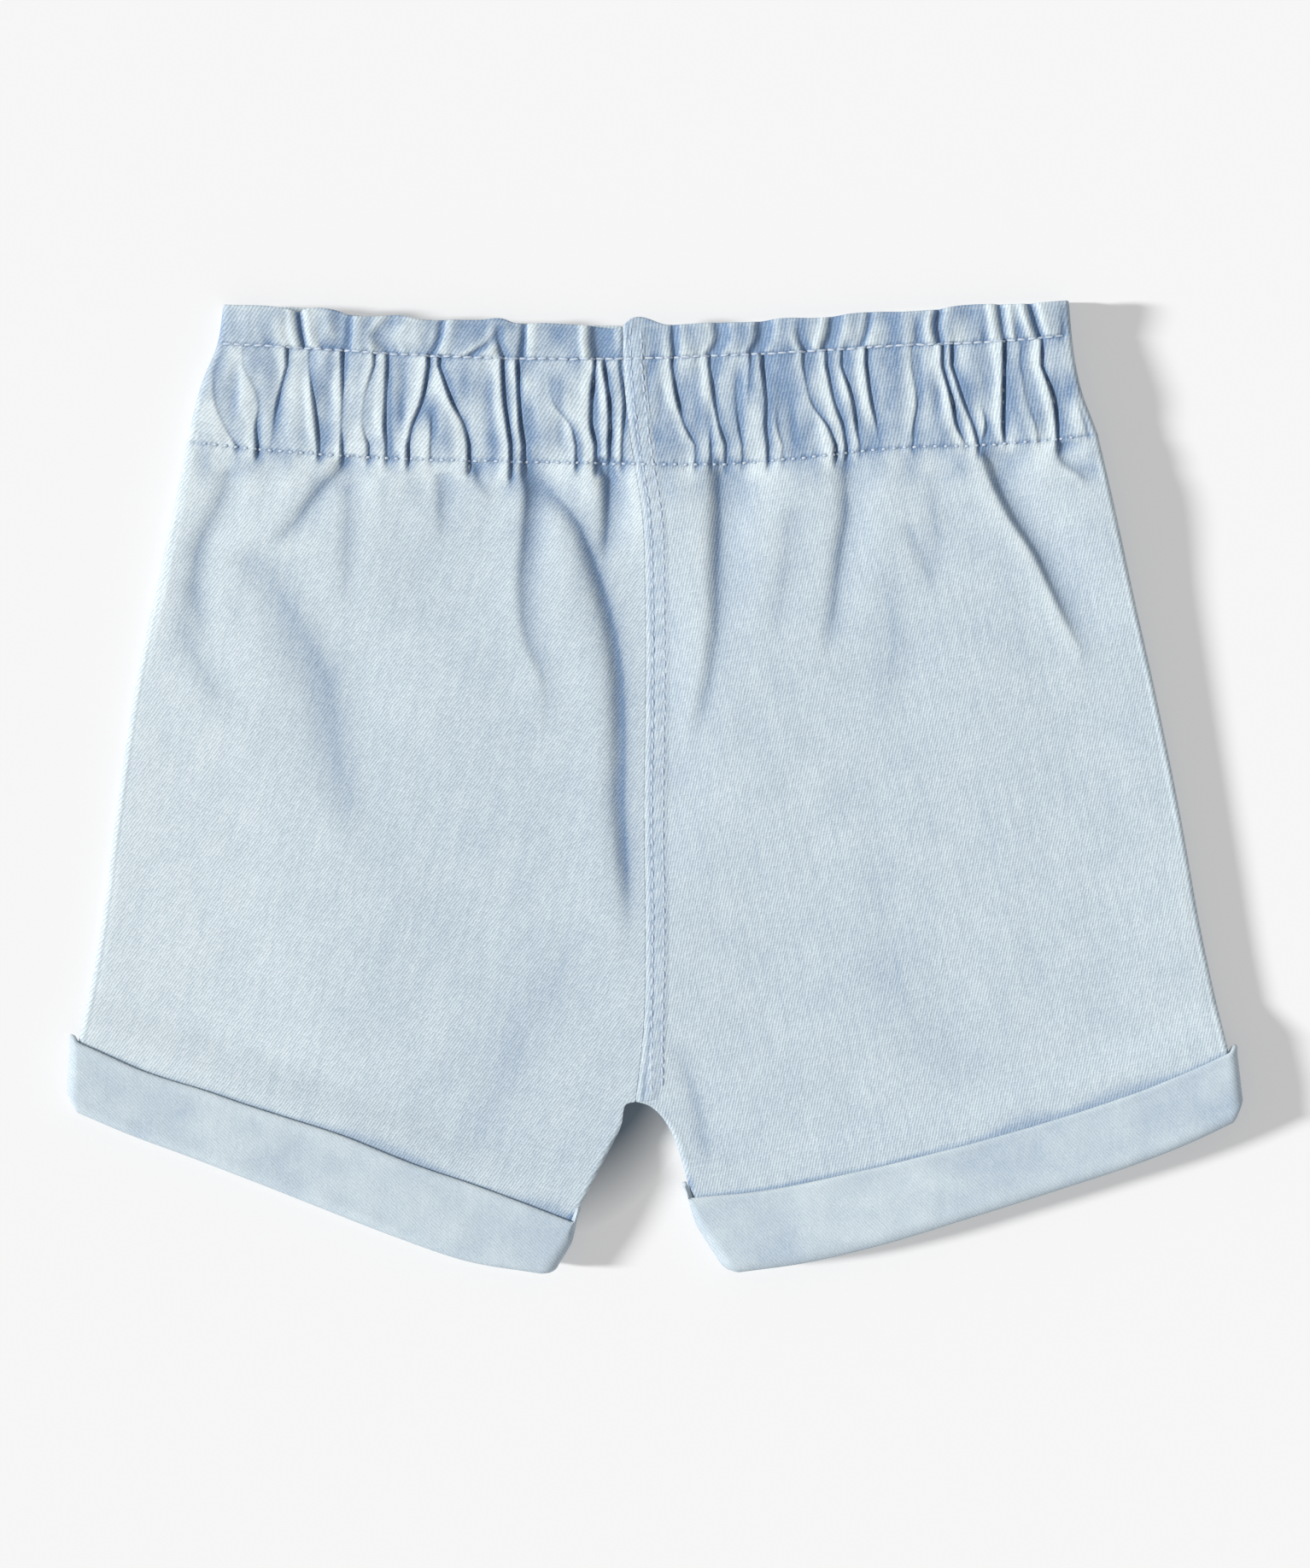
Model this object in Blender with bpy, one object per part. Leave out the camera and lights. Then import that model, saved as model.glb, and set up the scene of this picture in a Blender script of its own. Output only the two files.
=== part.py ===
"""Denim shorts with a gathered paper-bag waist and turned-up cuffs, laid flat with their back facing up.

All sizes and tables are in millimetres. X runs across the garment, +X towards the wearer's right, +Y towards the
waist and +Z up from the surface that the front lies on. Each wall is modelled as its middle surface and then
thickened. The back leg panels and the back casings share one height function, so their folds run on from one
piece to the next, and the front pieces lie flat below them inside the same outline.
"""

import math
from collections import namedtuple

import bmesh
import bpy
import numpy as np

MM = 0.001

# Driving sizes.
CLOTH = 1.2  # one wall of washed denim
SEAM_GAP = 0.3  # between two pieces that are sewn together
LEAST_GAP = 0.35  # between the inside of the back and the inside of the front
CUFF_HEIGHT = 22.0
CUFF_WALL = 1.8  # the turned-up hem, with its raw edge folded in
CUFF_FLARE = 0.5  # how far the top edge of a cuff stands off the leg
CUFF_LIP = 1.5  # the fold at the bottom of a cuff, measured up the leg
CUFF_BEVEL = 0.6  # the worn edges of a cuff
LIP_CLEARANCE = 0.2  # from the fold's end to the cuff's axis, where the leg opens
CUFF_RISE = 12.0  # the stretch above a cuff over which the leg spreads out to the surface
CUFF_SLANT = math.radians(20.0)  # between a cuff's fold and the X axis, on average
LEG_SPACING = 1.9  # between the middles of the front and back walls inside a cuff
SEAM_COLUMNS = np.array((0.0, 2.0, 4.2, 6.4))  # across the felled centre seam, which lies on the right panel
SEAM_WALL = 1.0

SIDES = {"left": -1, "right": 1}  # with the sign of x there

# Heights of the middle surfaces.
FRONT_FLAT = CLOTH / 2
FRONT_IN_CUFF = CUFF_WALL + SEAM_GAP + CLOTH / 2
BACK_IN_CUFF = FRONT_IN_CUFF + LEG_SPACING
CUFF_AXIS = FRONT_IN_CUFF + LEG_SPACING / 2
CUFF_RADIUS = CUFF_AXIS  # so that the front of the cuff lies on the surface


def table(columns, *rows):
    """Rows with named columns."""
    row_type = namedtuple("Row", columns)
    return tuple(row_type(*row) for row in rows)


# The waist lines: y of the frill's top edge and of the upper and the lower stitch line.
WAIST_LINES = table(
    "x edge upper lower",
    (-132.0, 135.6, 125.2, 97.2),
    (-118.0, 135.0, 124.4, 95.6),
    (-95.0, 133.3, 123.1, 93.7),
    (-68.0, 131.4, 121.4, 92.2),
    (-38.0, 130.2, 120.4, 91.5),
    (-8.0, 129.5, 120.3, 90.9),
    (18.0, 130.0, 121.2, 90.8),
    (42.0, 131.4, 122.3, 92.6),
    (66.0, 133.2, 123.9, 95.2),
    (92.0, 134.9, 125.0, 96.1),
    (116.0, 136.2, 126.9, 98.1),
    (128.0, 136.6, 128.2, 99.6),
)

# The outline above the cuffs: x of the left side, the centre back seam and the right side, from the cuffs up.
OUTLINE = table(
    "y left seam right",
    (-66.5, -160.6, -3.1, 159.0),
    (-42.5, -156.1, -2.7, 153.7),
    (-6.5, -151.1, -3.0, 147.2),
    (29.5, -145.6, -2.6, 139.8),
    (53.5, -140.5, -2.7, 134.4),
    (77.5, -135.2, -3.6, 129.2),
    (97.0, -131.1, -6.6, 124.6),
    (113.0, -127.1, -8.4, 119.1),
    (125.0, -122.6, -9.1, 117.1),
    (136.0, -121.0, -8.8, 116.1),
)
CROTCH = (-5.4, -87.9)

# The sides and the inner edges of the legs below that, down to their ends inside the cuffs.
LEG_SIDE_IN_CUFF = {
    "left": ((-161.9, -72.5), (-162.7, -80.0), (-162.8, -88.6)),
    "right": ((160.8, -74.0), (162.6, -82.0), (163.2, -91.6)),
}
INSEAM = {
    "left": ((-7.2, -88.4), (-9.0, -94.0), (-12.4, -100.6), (-17.6, -110.6), (-24.4, -123.6), (-31.4, -133.8)),
    "right": ((-2.8, -88.7), (1.8, -92.2), (6.0, -99.8), (8.2, -107.0), (10.6, -114.6), (22.6, -132.9)),
}

# The cuffs' top edge and fold, from the side to the inseam.
CUFF_COLUMNS = "x_top y_top x_fold y_fold"
CUFF_LINES = {
    "left": table(
        CUFF_COLUMNS,
        (-161.4, -71.0, -161.6, -91.0),
        (-142.7, -79.1, -148.0, -96.8),
        (-125.6, -84.6, -130.5, -103.3),
        (-107.4, -90.6, -111.0, -110.8),
        (-88.2, -96.8, -92.0, -118.3),
        (-69.0, -104.3, -74.0, -125.3),
        (-45.1, -113.0, -52.0, -132.7),
        (-22.9, -121.4, -32.6, -135.9),
    ),
    "right": table(
        CUFF_COLUMNS,
        (160.5, -74.0, 161.9, -93.8),
        (147.5, -80.0, 150.0, -99.4),
        (132.0, -86.0, 134.5, -105.5),
        (111.0, -92.7, 114.0, -112.3),
        (84.0, -100.3, 88.5, -120.4),
        (57.0, -107.0, 62.5, -128.3),
        (33.0, -111.9, 40.0, -133.4),
        (9.6, -114.6, 23.9, -135.6),
    ),
}

# The gathers that the elastic draws up: x at the frill's edge and at the two stitch lines, the depth in the
# frill, below the upper stitch line and above the lower one, and how far the gather runs down the leg.
GATHER_COLUMNS = "x_edge x_upper x_lower in_frill at_upper at_lower run"
GATHERS = {
    "left": table(
        GATHER_COLUMNS,
        (-113.8, -112.6, -111.2, 0.3, 0.4, 1.8, 9.0),
        (-100.2, -100.9, -108.3, 3.0, 1.8, 0.3, 4.0),
        (-94.4, -97.3, -94.0, 0.6, 0.7, 1.9, 8.0),
        (-85.6, -87.0, -88.0, 0.6, 1.6, 1.4, 9.0),
        (-76.2, -79.2, -80.3, 0.9, 1.1, 1.0, 6.0),
        (-72.6, -74.4, -75.2, 0.3, 1.7, 1.1, 6.0),
        (-62.0, -63.4, -69.9, 1.5, 2.5, 1.7, 8.0),
        (-59.2, -60.2, -62.8, 0.0, 0.2, 1.0, 9.0),
        (-55.4, -57.2, -51.5, 0.2, 2.0, 2.0, 12.0),
        (-42.6, -43.7, -40.0, 0.9, 2.3, 2.9, 10.0),
        (-36.4, -38.6, -36.6, 1.0, 2.5, 2.5, 30.0),
        (-29.2, -30.6, -21.0, 0.5, 0.2, 1.3, 9.0),
        (-18.6, -17.0, -16.9, 2.0, 2.0, 1.4, 8.0),
        (-14.4, -13.6, -12.9, 0.2, 1.7, 2.1, 26.0),
    ),
    "right": table(
        GATHER_COLUMNS,
        (4.8, 4.4, 12.6, 1.4, 2.0, 0.8, 5.0),
        (11.4, 9.8, 16.0, 0.2, 0.2, 1.0, 7.0),
        (17.6, 14.8, 19.8, 1.4, 2.0, 1.6, 26.0),
        (21.4, 21.0, 24.8, 0.2, 0.4, 1.0, 6.0),
        (26.4, 26.0, 31.6, 0.4, 0.7, 1.4, 7.0),
        (29.6, 29.4, 36.4, 2.0, 1.8, 0.6, 5.0),
        (39.2, 40.9, 51.2, 1.0, 1.1, 1.9, 9.0),
        (48.8, 47.9, 54.1, 2.3, 1.6, 1.5, 24.0),
        (55.8, 51.3, 57.7, 0.3, 1.4, 1.0, 6.0),
        (58.6, 58.4, 63.7, 1.0, 2.1, 0.6, 5.0),
        (67.8, 71.9, 72.4, 0.9, 0.7, 1.0, 7.0),
        (78.6, 79.8, 87.7, 3.0, 2.3, 0.8, 4.0),
        (81.4, 82.4, 91.6, 0.0, 2.0, 1.6, 14.0),
        (95.6, 97.3, 98.0, 2.9, 2.3, 1.0, 5.0),
        (100.0, 101.6, 108.6, 0.3, 0.7, 0.5, 6.0),
        (105.2, 107.4, 113.1, 3.0, 2.3, 2.5, 11.0),
    ),
}
GATHER_WIDTH = 1.5  # from the middle of a gather to where it is a third as deep
GATHER_SPREAD = 12.0  # how far down the leg a gather becomes twice as wide

# The longer folds of the legs: their ends, the bow to the right between them, the depth at the top, in the
# middle and at the end, and the half-width at the top and at the end.
FOLDS = table(
    "x_top y_top x_end y_end bow top middle end width_top width_end",
    (-36.6, 86.0, -34.0, 36.0, -1.0, 1.6, 1.2, 0.1, 2.2, 5.0),
    (-21.5, 73.0, -6.6, -8.0, 3.6, 0.2, 1.7, 0.2, 2.4, 5.0),
    (19.6, 84.0, 13.8, 14.0, -0.6, 1.4, 1.2, 0.1, 2.2, 5.0),
    (54.0, 86.0, 48.0, 30.0, 0.4, 1.3, 1.0, 0.1, 2.4, 5.0),
    (91.8, 92.0, 119.0, 40.0, 1.0, 1.6, 1.7, 0.3, 2.0, 2.4),
    (-87.6, 92.0, -108.0, 67.0, 2.0, 1.0, 1.3, 0.5, 2.6, 5.0),
    (-119.6, 89.0, -131.0, 44.0, -1.0, 0.9, 1.1, 0.3, 3.2, 6.0),
    (-108.0, 70.0, -78.0, -8.0, -4.0, 0.3, 0.9, 0.2, 7.0, 10.0),
    (-87.0, 80.0, -69.0, 30.0, -2.0, 0.4, 0.6, 0.1, 4.0, 7.0),
    (-60.0, 88.0, -54.0, 50.0, 0.0, 0.6, 0.5, 0.1, 3.0, 6.0),
    (64.0, 90.0, 82.0, 38.0, -1.0, 0.4, 0.5, 0.1, 3.0, 6.0),
    (113.0, 95.0, 122.0, 74.0, -1.0, 0.8, 0.9, 0.2, 2.0, 3.0),
    (6.0, -72.0, 15.4, -103.0, -1.0, 0.1, 0.7, 0.5, 2.4, 4.0),
)

# How high the back's middle surface lies, by the distance below the lower stitch line.
LOFT = table(
    "below height",
    (-46.0, 4.9),
    (-37.0, 5.4),
    (-31.0, 4.9),
    (-28.0, 4.9),
    (-15.0, 5.6),
    (-2.5, 4.9),
    (2.5, 4.9),
    (12.0, 5.3),
    (45.0, 4.4),
    (90.0, 3.6),
    (140.0, 3.2),
    (240.0, 3.2),
)

# The fineness of the grids.
ROWS_ABOVE_CROTCH = {"back": 18, "front": 9}
ROWS_BELOW_CROTCH = 6
EVENNESS = 0.7  # of the rows' spacing, which grows away from the waist and from the crotch
LEG_COLUMNS = {"back": 24, "front": 7}
FRILL_ROWS = 3
CASING_ROWS = 5
ROLL = 1 - np.cos(np.radians((0.0, 30.0, 60.0, 90.0)))  # columns round a rolled edge, as shares of its radius
SHOULDER = 1.25  # from the middle of a gather to the columns beside it, as a share of its width
CASING_CLEARANCE = 5.0  # from the casing to the first point of the outline that shapes a leg
CROTCH_SPREAD = 0.1  # the share of a leg below the crotch over which its inner edge begins to roll
CUFF_STATIONS = 12
CUFF_TURN_STEPS = 4

DENIM = ("denim", (0.56, 0.66, 0.73, 1.0), 0.9)
DENIM_REVERSE = ("denim_reverse", (0.62, 0.71, 0.77, 1.0), 0.95)


# Curves and surfaces.


def hermite(knots, values, at):
    """Values at the given places, on a smooth line through the knots."""
    knots, values = np.asarray(knots, float), np.asarray(values, float)
    slopes = np.gradient(values, knots, axis=0)
    at = np.clip(at, knots[0], knots[-1])
    i = np.clip(np.searchsorted(knots, at, side="right") - 1, 0, len(knots) - 2)
    span = knots[i + 1] - knots[i]
    t = (at - knots[i]) / span
    if values.ndim > 1:
        t, span = t[..., None], span[..., None]
    return (
        (1 + 2 * t) * (1 - t) ** 2 * values[i]
        + t * (1 - t) ** 2 * span * slopes[i]
        + t * t * (3 - 2 * t) * values[i + 1]
        - t * t * (1 - t) * span * slopes[i + 1]
    )


def column(rows, name):
    return np.array([getattr(row, name) for row in rows], float)


def read(rows, name, at):
    """A named column of a table whose first column rises, read at the given places."""
    return hermite([row[0] for row in rows], column(rows, name), at)


def waist(x):
    """y of the frill's edge, the upper stitch line and the lower stitch line."""
    return (read(WAIST_LINES, name, x) for name in ("edge", "upper", "lower"))


def along(points, shares):
    """Points at these shares of the length of a smooth curve through the given points."""
    points = np.asarray(points, float)
    chords = np.linalg.norm(np.diff(points, axis=0), axis=1)
    knots = np.concatenate([[0.0], np.cumsum(chords)])
    return hermite(knots, points, np.asarray(shares) * knots[-1])


def ease(x, low, high):
    """A smooth step from 0 at low to 1 at high. Low may be the larger."""
    t = np.clip((x - low) / (high - low), 0.0, 1.0)
    return t * t * (3 - 2 * t)


def level(x, in_frill, in_casing):
    """y at these shares of the way down the frill and down the casing."""
    edge, upper, lower = waist(x)
    return edge + (upper - edge) * in_frill + (lower - upper) * in_casing


def waist_x(name, in_frill, in_casing):
    """x of a side or of the centre seam on that line."""
    return read(OUTLINE, name, level(getattr(OUTLINE[-1], name), in_frill, in_casing))


def fold_height(x):
    """y of the cuffs' fold at each x."""
    line = sorted((row.x_fold, row.y_fold) for side in SIDES for row in CUFF_LINES[side])
    return np.interp(x, *zip(*line))


# Heights.


def gather_line(gather, in_frill, in_casing):
    """x of a gather at these shares of the way down the frill and down the casing."""
    bent = (gather.x_lower - gather.x_upper) * in_casing
    return gather.x_edge + (gather.x_upper - gather.x_edge) * in_frill + bent


def gather_depth(x, y):
    """How far the gathers draw the cloth in at each point."""
    edge, upper, lower = waist(x)
    below = np.maximum(lower - y, 0.0)
    in_frill = np.clip((edge - y) / (edge - upper), 0.0, 1.0)
    in_casing = np.clip((upper - y) / (upper - lower), 0.0, 1.0)
    depth = np.zeros_like(x)
    width = GATHER_WIDTH * (1 + below / GATHER_SPREAD)
    for gather in GATHERS["left"] + GATHERS["right"]:
        here = gather.in_frill + (gather.at_upper - gather.in_frill) * ease(in_frill, 0.5, 1.0)
        here = here + (gather.at_lower - gather.at_upper) * ease(in_casing, 0.1, 0.9)
        across = (x - gather_line(gather, in_frill, in_casing)) / width
        depth += here * np.exp(-((below / gather.run) ** 2) - across**2)
    return depth


def fold_depth(x, y):
    """How far the longer folds of the legs draw the cloth in at each point."""
    depth = np.zeros_like(x)
    for fold in FOLDS:
        run, drop = fold.x_end - fold.x_top, fold.y_end - fold.y_top
        reach = math.hypot(run, drop)
        share = ((x - fold.x_top) * run + (y - fold.y_top) * drop) / reach**2
        fade = ease(share, -0.12, 0.05) * ease(share, 1.15, 0.9)
        share = np.clip(share, 0.0, 1.0)
        across = ((y - fold.y_top) * run - (x - fold.x_top) * drop) / reach
        across -= fold.bow * 4 * share * (1 - share)
        here = hermite((0.0, 0.5, 1.0), (fold.top, fold.middle, fold.end), share)
        width = fold.width_top + (fold.width_end - fold.width_top) * share
        depth += here * fade * np.exp(-((across / width) ** 2))
    return depth


def base_heights(x, y):
    """The middle surfaces of the front and the back without gathers or folds."""
    above_fold = (y - fold_height(x)) * math.cos(CUFF_SLANT)
    clear_of_cuff = CUFF_HEIGHT + CLOTH + SEAM_GAP
    in_cuff = ease(above_fold, clear_of_cuff + CUFF_RISE, clear_of_cuff)
    front = FRONT_FLAT + (FRONT_IN_CUFF - FRONT_FLAT) * in_cuff
    loft = read(LOFT, "height", read(WAIST_LINES, "lower", x) - y)
    back = loft + (BACK_IN_CUFF - loft) * in_cuff
    return front, back, in_cuff


def back_height(x, y):
    front, back, in_cuff = base_heights(x, y)
    drawn_in = gather_depth(x, y) + fold_depth(x, y) * (1 - in_cuff)
    return np.maximum(back - drawn_in, front + CLOTH + LEAST_GAP)


def rolled(x, y, height, from_edge, amount, face):
    """Heights with the cloth turned towards the seam at an edge. The amount is 1 where the edge rolls fully."""
    front, back, _ = base_heights(x, y)
    rim = SEAM_GAP / 2 + CLOTH / 2 * (1 - amount)
    seam = (front + back) / 2 + (1 if face == "back" else -1) * rim
    radius = roll_radius(x, y)
    t = np.clip(from_edge / radius, 0.0, 1.0)
    turned = seam + (height - seam) * np.sqrt(1 - (1 - t) ** 2)
    return height + (turned - height) * amount


def roll_radius(x, y):
    front, back, _ = base_heights(x, y)
    return (back - front) / 2


# Sheets: grids of middle points and of their upward normals, as arrays of rows by columns by x, y, z.


def sheet(x, y, from_side, from_inner, inner_amount, face):
    height = back_height(x, y) if face == "back" else base_heights(x, y)[0]
    height = rolled(x, y, height, from_side, np.ones_like(x), face)
    height = rolled(x, y, height, from_inner, inner_amount, face)
    points = np.stack([x, y, height], axis=-1)
    down, right = np.gradient(points, axis=0), np.gradient(points, axis=1)
    normals = np.cross(right, down)
    normals *= np.sign(normals[..., 2:])
    # A rolled edge ends upright, so that its rim faces the other panel's across the seam.
    normals /= np.linalg.norm(normals, axis=-1, keepdims=True)
    normals[:, 0, 2] *= 1 - inner_amount[:, 0]
    normals[:, -1, 2] = 0.0
    normals /= np.linalg.norm(normals, axis=-1, keepdims=True)
    return points, normals


def leg_edges(side):
    """Points on a leg's side, on its half of the centre seam and on its inseam, for the middle of the wall."""
    sign = SIDES[side]
    corners = np.array([waist_x(name, 1.0, 1.0) for name in (side, "seam")])
    tops = level(corners, 1.0, 1.0) - SEAM_GAP
    low = [row for row in OUTLINE[::-1] if row.y < min(tops) - CASING_CLEARANCE]
    outer = [(corners[0], tops[0]), *((getattr(row, side), row.y) for row in low), *LEG_SIDE_IN_CUFF[side]]
    seam = [(corners[1], tops[1]), *((row.seam, row.y) for row in low), CROTCH]
    outer = np.array(outer) - (sign * CLOTH / 2, 0.0)
    seam = np.array(seam) + (sign * SEAM_GAP / 2, 0.0)
    inseam = np.array(INSEAM[side]) + (sign * CLOTH / 2, 0.0)
    return outer, seam, np.array([seam[-1], *inseam])


def uneven(count):
    """Shares from 0 to 1 whose spacing grows."""
    t = np.linspace(0.0, 1.0, count + 1)
    return EVENNESS * t + (1 - EVENNESS) * t**2


def length(points):
    return np.linalg.norm(np.diff(points, axis=0), axis=1).sum()


def leg_sheet(side, face):
    """A patch between four curves: the lower stitch line, the cuff's fold, the side and the inner edge."""
    outer, seam, inseam = leg_edges(side)
    down_seam, down_inseam = uneven(ROWS_ABOVE_CROTCH[face]), uneven(ROWS_BELOW_CROTCH)[1:]
    at_crotch = length(seam) / (length(seam) + length(inseam))
    rows = np.concatenate([down_seam * at_crotch, at_crotch + down_inseam * (1 - at_crotch)])
    inner = np.concatenate([along(seam, down_seam), along(inseam, down_inseam)])
    side_line = along(outer, rows)
    # Columns: a few by the centre seam or the rolled inseam, even ones between, and a rolled side.
    roll_share = ease(rows, at_crotch, at_crotch + CROTCH_SPREAD)[:, None]
    across = np.linalg.norm(side_line - inner, axis=1)[:, None]
    first = SEAM_COLUMNS + (ROLL * roll_radius(*inner.T)[:, None] - SEAM_COLUMNS) * roll_share
    last = across - ROLL[::-1] * roll_radius(*side_line.T)[:, None]
    inside = np.linspace(0.0, 1.0, LEG_COLUMNS[face] + 1)[1:-1]
    middle = first[:, -1:] + (last[:, :1] - first[:, -1:]) * inside
    distance = np.concatenate([first, middle, last], axis=1)
    u = (distance / across)[..., None]
    v = np.broadcast_to(rows[:, None, None], u.shape)
    top_x = inner[0, 0] + (side_line[0, 0] - inner[0, 0]) * u[..., 0]
    top = np.stack([top_x, level(top_x, 1.0, 1.0) - SEAM_GAP], axis=-1)
    bottom = hem_line(side, inner[-1], side_line[-1], u)
    corners = (1 - v) * ((1 - u) * inner[0] + u * side_line[0]) + v * ((1 - u) * inner[-1] + u * side_line[-1])
    plan = (1 - v) * top + v * bottom + (1 - u) * inner[:, None] + u * side_line[:, None] - corners
    amount = np.broadcast_to(roll_share, distance.shape)
    return sheet(plan[..., 0], plan[..., 1], across - distance, distance, amount, face)


def hem_line(side, inner, outer, u):
    """The end of a leg panel inside its cuff, which follows the fold."""
    fold = np.array([(row.x_fold, row.y_fold) for row in CUFF_LINES[side]])[::-1]
    return along(fold, u[..., 0]) + (1 - u) * (inner - fold[0]) + u * (outer - fold[-1])


def casing_columns(side, in_frill, in_casing, inner, outer):
    """x of the columns at one row: each gather has one at its bottom, one on each shoulder and one between."""
    lines = sorted((gather_line(gather, in_frill, in_casing) for gather in GATHERS[side]), key=abs)
    lines = [inner, *lines, outer]
    found = [inner]
    for a, b in zip(lines, lines[1:]):
        shoulder = SIDES[side] * min(SHOULDER * GATHER_WIDTH, abs(b - a) / 3)
        found += [a + shoulder, (a + b) / 2, b - shoulder, b]
    return np.array(found)


def casing_sheet(side, face):
    """The frill and the elastic's casing above the lower stitch line."""
    sign = SIDES[side]
    stations = [(f, 0.0) for f in np.linspace(0.0, 1.0, FRILL_ROWS + 1)[:-1]]
    stations += [(1.0, f) for f in np.linspace(0.0, 1.0, CASING_ROWS + 1)]
    rows = []
    for in_frill, in_casing in stations:
        outer = waist_x(side, in_frill, in_casing) - sign * CLOTH / 2
        inner = waist_x("seam", in_frill, in_casing) + sign * SEAM_GAP / 2
        roll = sign * ROLL[::-1] * roll_radius(outer, level(outer, in_frill, in_casing))
        if face == "back":
            x = casing_columns(side, in_frill, in_casing, inner, outer - roll[0])
        else:
            x = np.linspace(inner, outer - roll[0], LEG_COLUMNS["front"] + 1)
        x = np.concatenate([x[:-1], outer - roll])
        rows.append((x, level(x, in_frill, in_casing), abs(outer - x)))
    x, y, from_side = np.array(rows).transpose(1, 0, 2)
    return sheet(x, y, from_side, abs(x - x[:, :1]), np.zeros_like(x), face)


# Blender objects.


def material(name, colour, roughness):
    made = bpy.data.materials.get(name) or bpy.data.materials.new(name)
    made.use_nodes = True
    shader = made.node_tree.nodes["Principled BSDF"]
    shader.inputs["Base Color"].default_value = colour
    shader.inputs["Roughness"].default_value = roughness
    made.diffuse_color = colour
    return made


def mesh_object(name, bm, finish):
    bmesh.ops.recalc_face_normals(bm, faces=bm.faces)
    mesh = bpy.data.meshes.new(name)
    bm.to_mesh(mesh)
    bm.free()
    mesh.shade_smooth()
    mesh.materials.append(material(*finish))
    obj = bpy.data.objects.new(name, mesh)
    bpy.context.scene.collection.objects.link(obj)
    return obj


def cloth_wall(name, points, normals, thickness, finish, lift=0.0):
    """A piece of cloth: a sheet's middle points, moved out by the lift and thickened to both sides."""
    bm = bmesh.new()
    upper, lower = (
        [[bm.verts.new(point * MM) for point in row] for row in points + (lift + half) * normals]
        for half in (thickness / 2, -thickness / 2)
    )
    last_row, last_column = len(points) - 1, len(points[0]) - 1
    for i in range(last_row):
        for j in range(last_column):
            for layer in (upper, lower):
                corners = (layer[i][j], layer[i][j + 1], layer[i + 1][j + 1], layer[i + 1][j])
                bm.faces.new(corners)
    border = [(0, j) for j in range(last_column)] + [(i, last_column) for i in range(last_row)]
    border += [(last_row, j) for j in range(last_column, 0, -1)] + [(i, 0) for i in range(last_row, 0, -1)]
    for (i, j), (k, m) in zip(border, border[1:] + border[:1]):
        bm.faces.new((upper[i][j], upper[k][m], lower[k][m], lower[i][j]))
    return mesh_object(name, bm, finish)


def cuff_section():
    """The cuff's wall and fold, cut across: the height up the leg and the distance from the cuff's axis."""
    inside = CUFF_RADIUS - CUFF_WALL
    return (
        (CUFF_HEIGHT, inside),
        (CUFF_HEIGHT, CUFF_RADIUS - CUFF_BEVEL / 2),
        (CUFF_HEIGHT - CUFF_BEVEL, CUFF_RADIUS),
        (CUFF_HEIGHT / 2, CUFF_RADIUS),
        (CUFF_LIP, CUFF_RADIUS),
        (CUFF_LIP / 4, CUFF_RADIUS - CUFF_LIP / 2),
        (0.0, CUFF_RADIUS - CUFF_LIP),
        (0.0, CUFF_LIP / 2),
        (CUFF_LIP / 3, LIP_CLEARANCE),
        (CUFF_LIP - CUFF_BEVEL / 2, LIP_CLEARANCE),
        (CUFF_LIP, LIP_CLEARANCE + CUFF_BEVEL),
        (CUFF_LIP, inside),
        (CUFF_HEIGHT / 2, inside),
    )


def cuff(side):
    """A ring round the end of the leg, flattened: a straight back and front joined by two half turns."""
    lines = np.array(CUFF_LINES[side])
    shares = np.linspace(0.0, 1.0, CUFF_STATIONS)
    top, fold = along(lines[:, 0:2], shares), along(lines[:, 2:4], shares)
    turn = np.radians(np.linspace(90.0, -90.0, CUFF_TURN_STEPS + 1))[1:-1]
    stations = [(t, f, np.array((0.0, 0.0, 1.0))) for t, f in zip(top, fold)]
    for end, inward in ((-1, -2), (0, 1)):
        if end == 0:
            stations += [(t, f, np.array((0.0, 0.0, -1.0))) for t, f in zip(top[::-1], fold[::-1])]
        out = (top[end] + fold[end]) - (top[inward] + fold[inward])
        out /= np.linalg.norm(out)
        angles = turn if end == -1 else turn[::-1]
        for a in angles:
            stations.append((top[end], fold[end], np.array((*(out * math.cos(a)), math.sin(a)))))
    bm = bmesh.new()
    rings = []
    for t, f, outward in stations:
        ring = []
        for up, reach in cuff_section():
            share = up / CUFF_HEIGHT
            plan = f + (t - f) * share
            stand_off = CUFF_FLARE * share**2 * max(0.0, outward[2])
            point = np.array((*plan, CUFF_AXIS)) + outward * (reach + stand_off)
            ring.append(bm.verts.new(point * MM))
        rings.append(ring)
    for ring, following in zip(rings, rings[1:] + rings[:1]):
        for i in range(len(ring)):
            j = (i + 1) % len(ring)
            bm.faces.new((ring[i], ring[j], following[j], following[i]))
    return mesh_object(f"{side}_cuff", bm, DENIM_REVERSE)


def seam_strip(name, panel, rows):
    """The lap of the felled seam, on the inner columns of a panel."""
    points, normals = (grid[:rows, : len(SEAM_COLUMNS)] for grid in panel)
    cloth_wall(name, points, normals, SEAM_WALL, DENIM, lift=(CLOTH + SEAM_WALL) / 2 + SEAM_GAP)


def clear_scene():
    for obj in list(bpy.data.objects):
        bpy.data.objects.remove(obj)


def build():
    clear_scene()
    for side in SIDES:
        for face in ("front", "back"):
            leg, casing = leg_sheet(side, face), casing_sheet(side, face)
            cloth_wall(f"{face}_{side}_leg", *leg, CLOTH, DENIM)
            cloth_wall(f"{face}_{side}_casing", *casing, CLOTH, DENIM)
            if (side, face) == ("right", "back"):
                seam_strip("back_seam", leg, ROWS_ABOVE_CROTCH[face] + 1)
                seam_strip("waist_seam", casing, len(casing[0]))
        cuff(side)


build()
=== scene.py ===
import math
from collections import namedtuple

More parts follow.
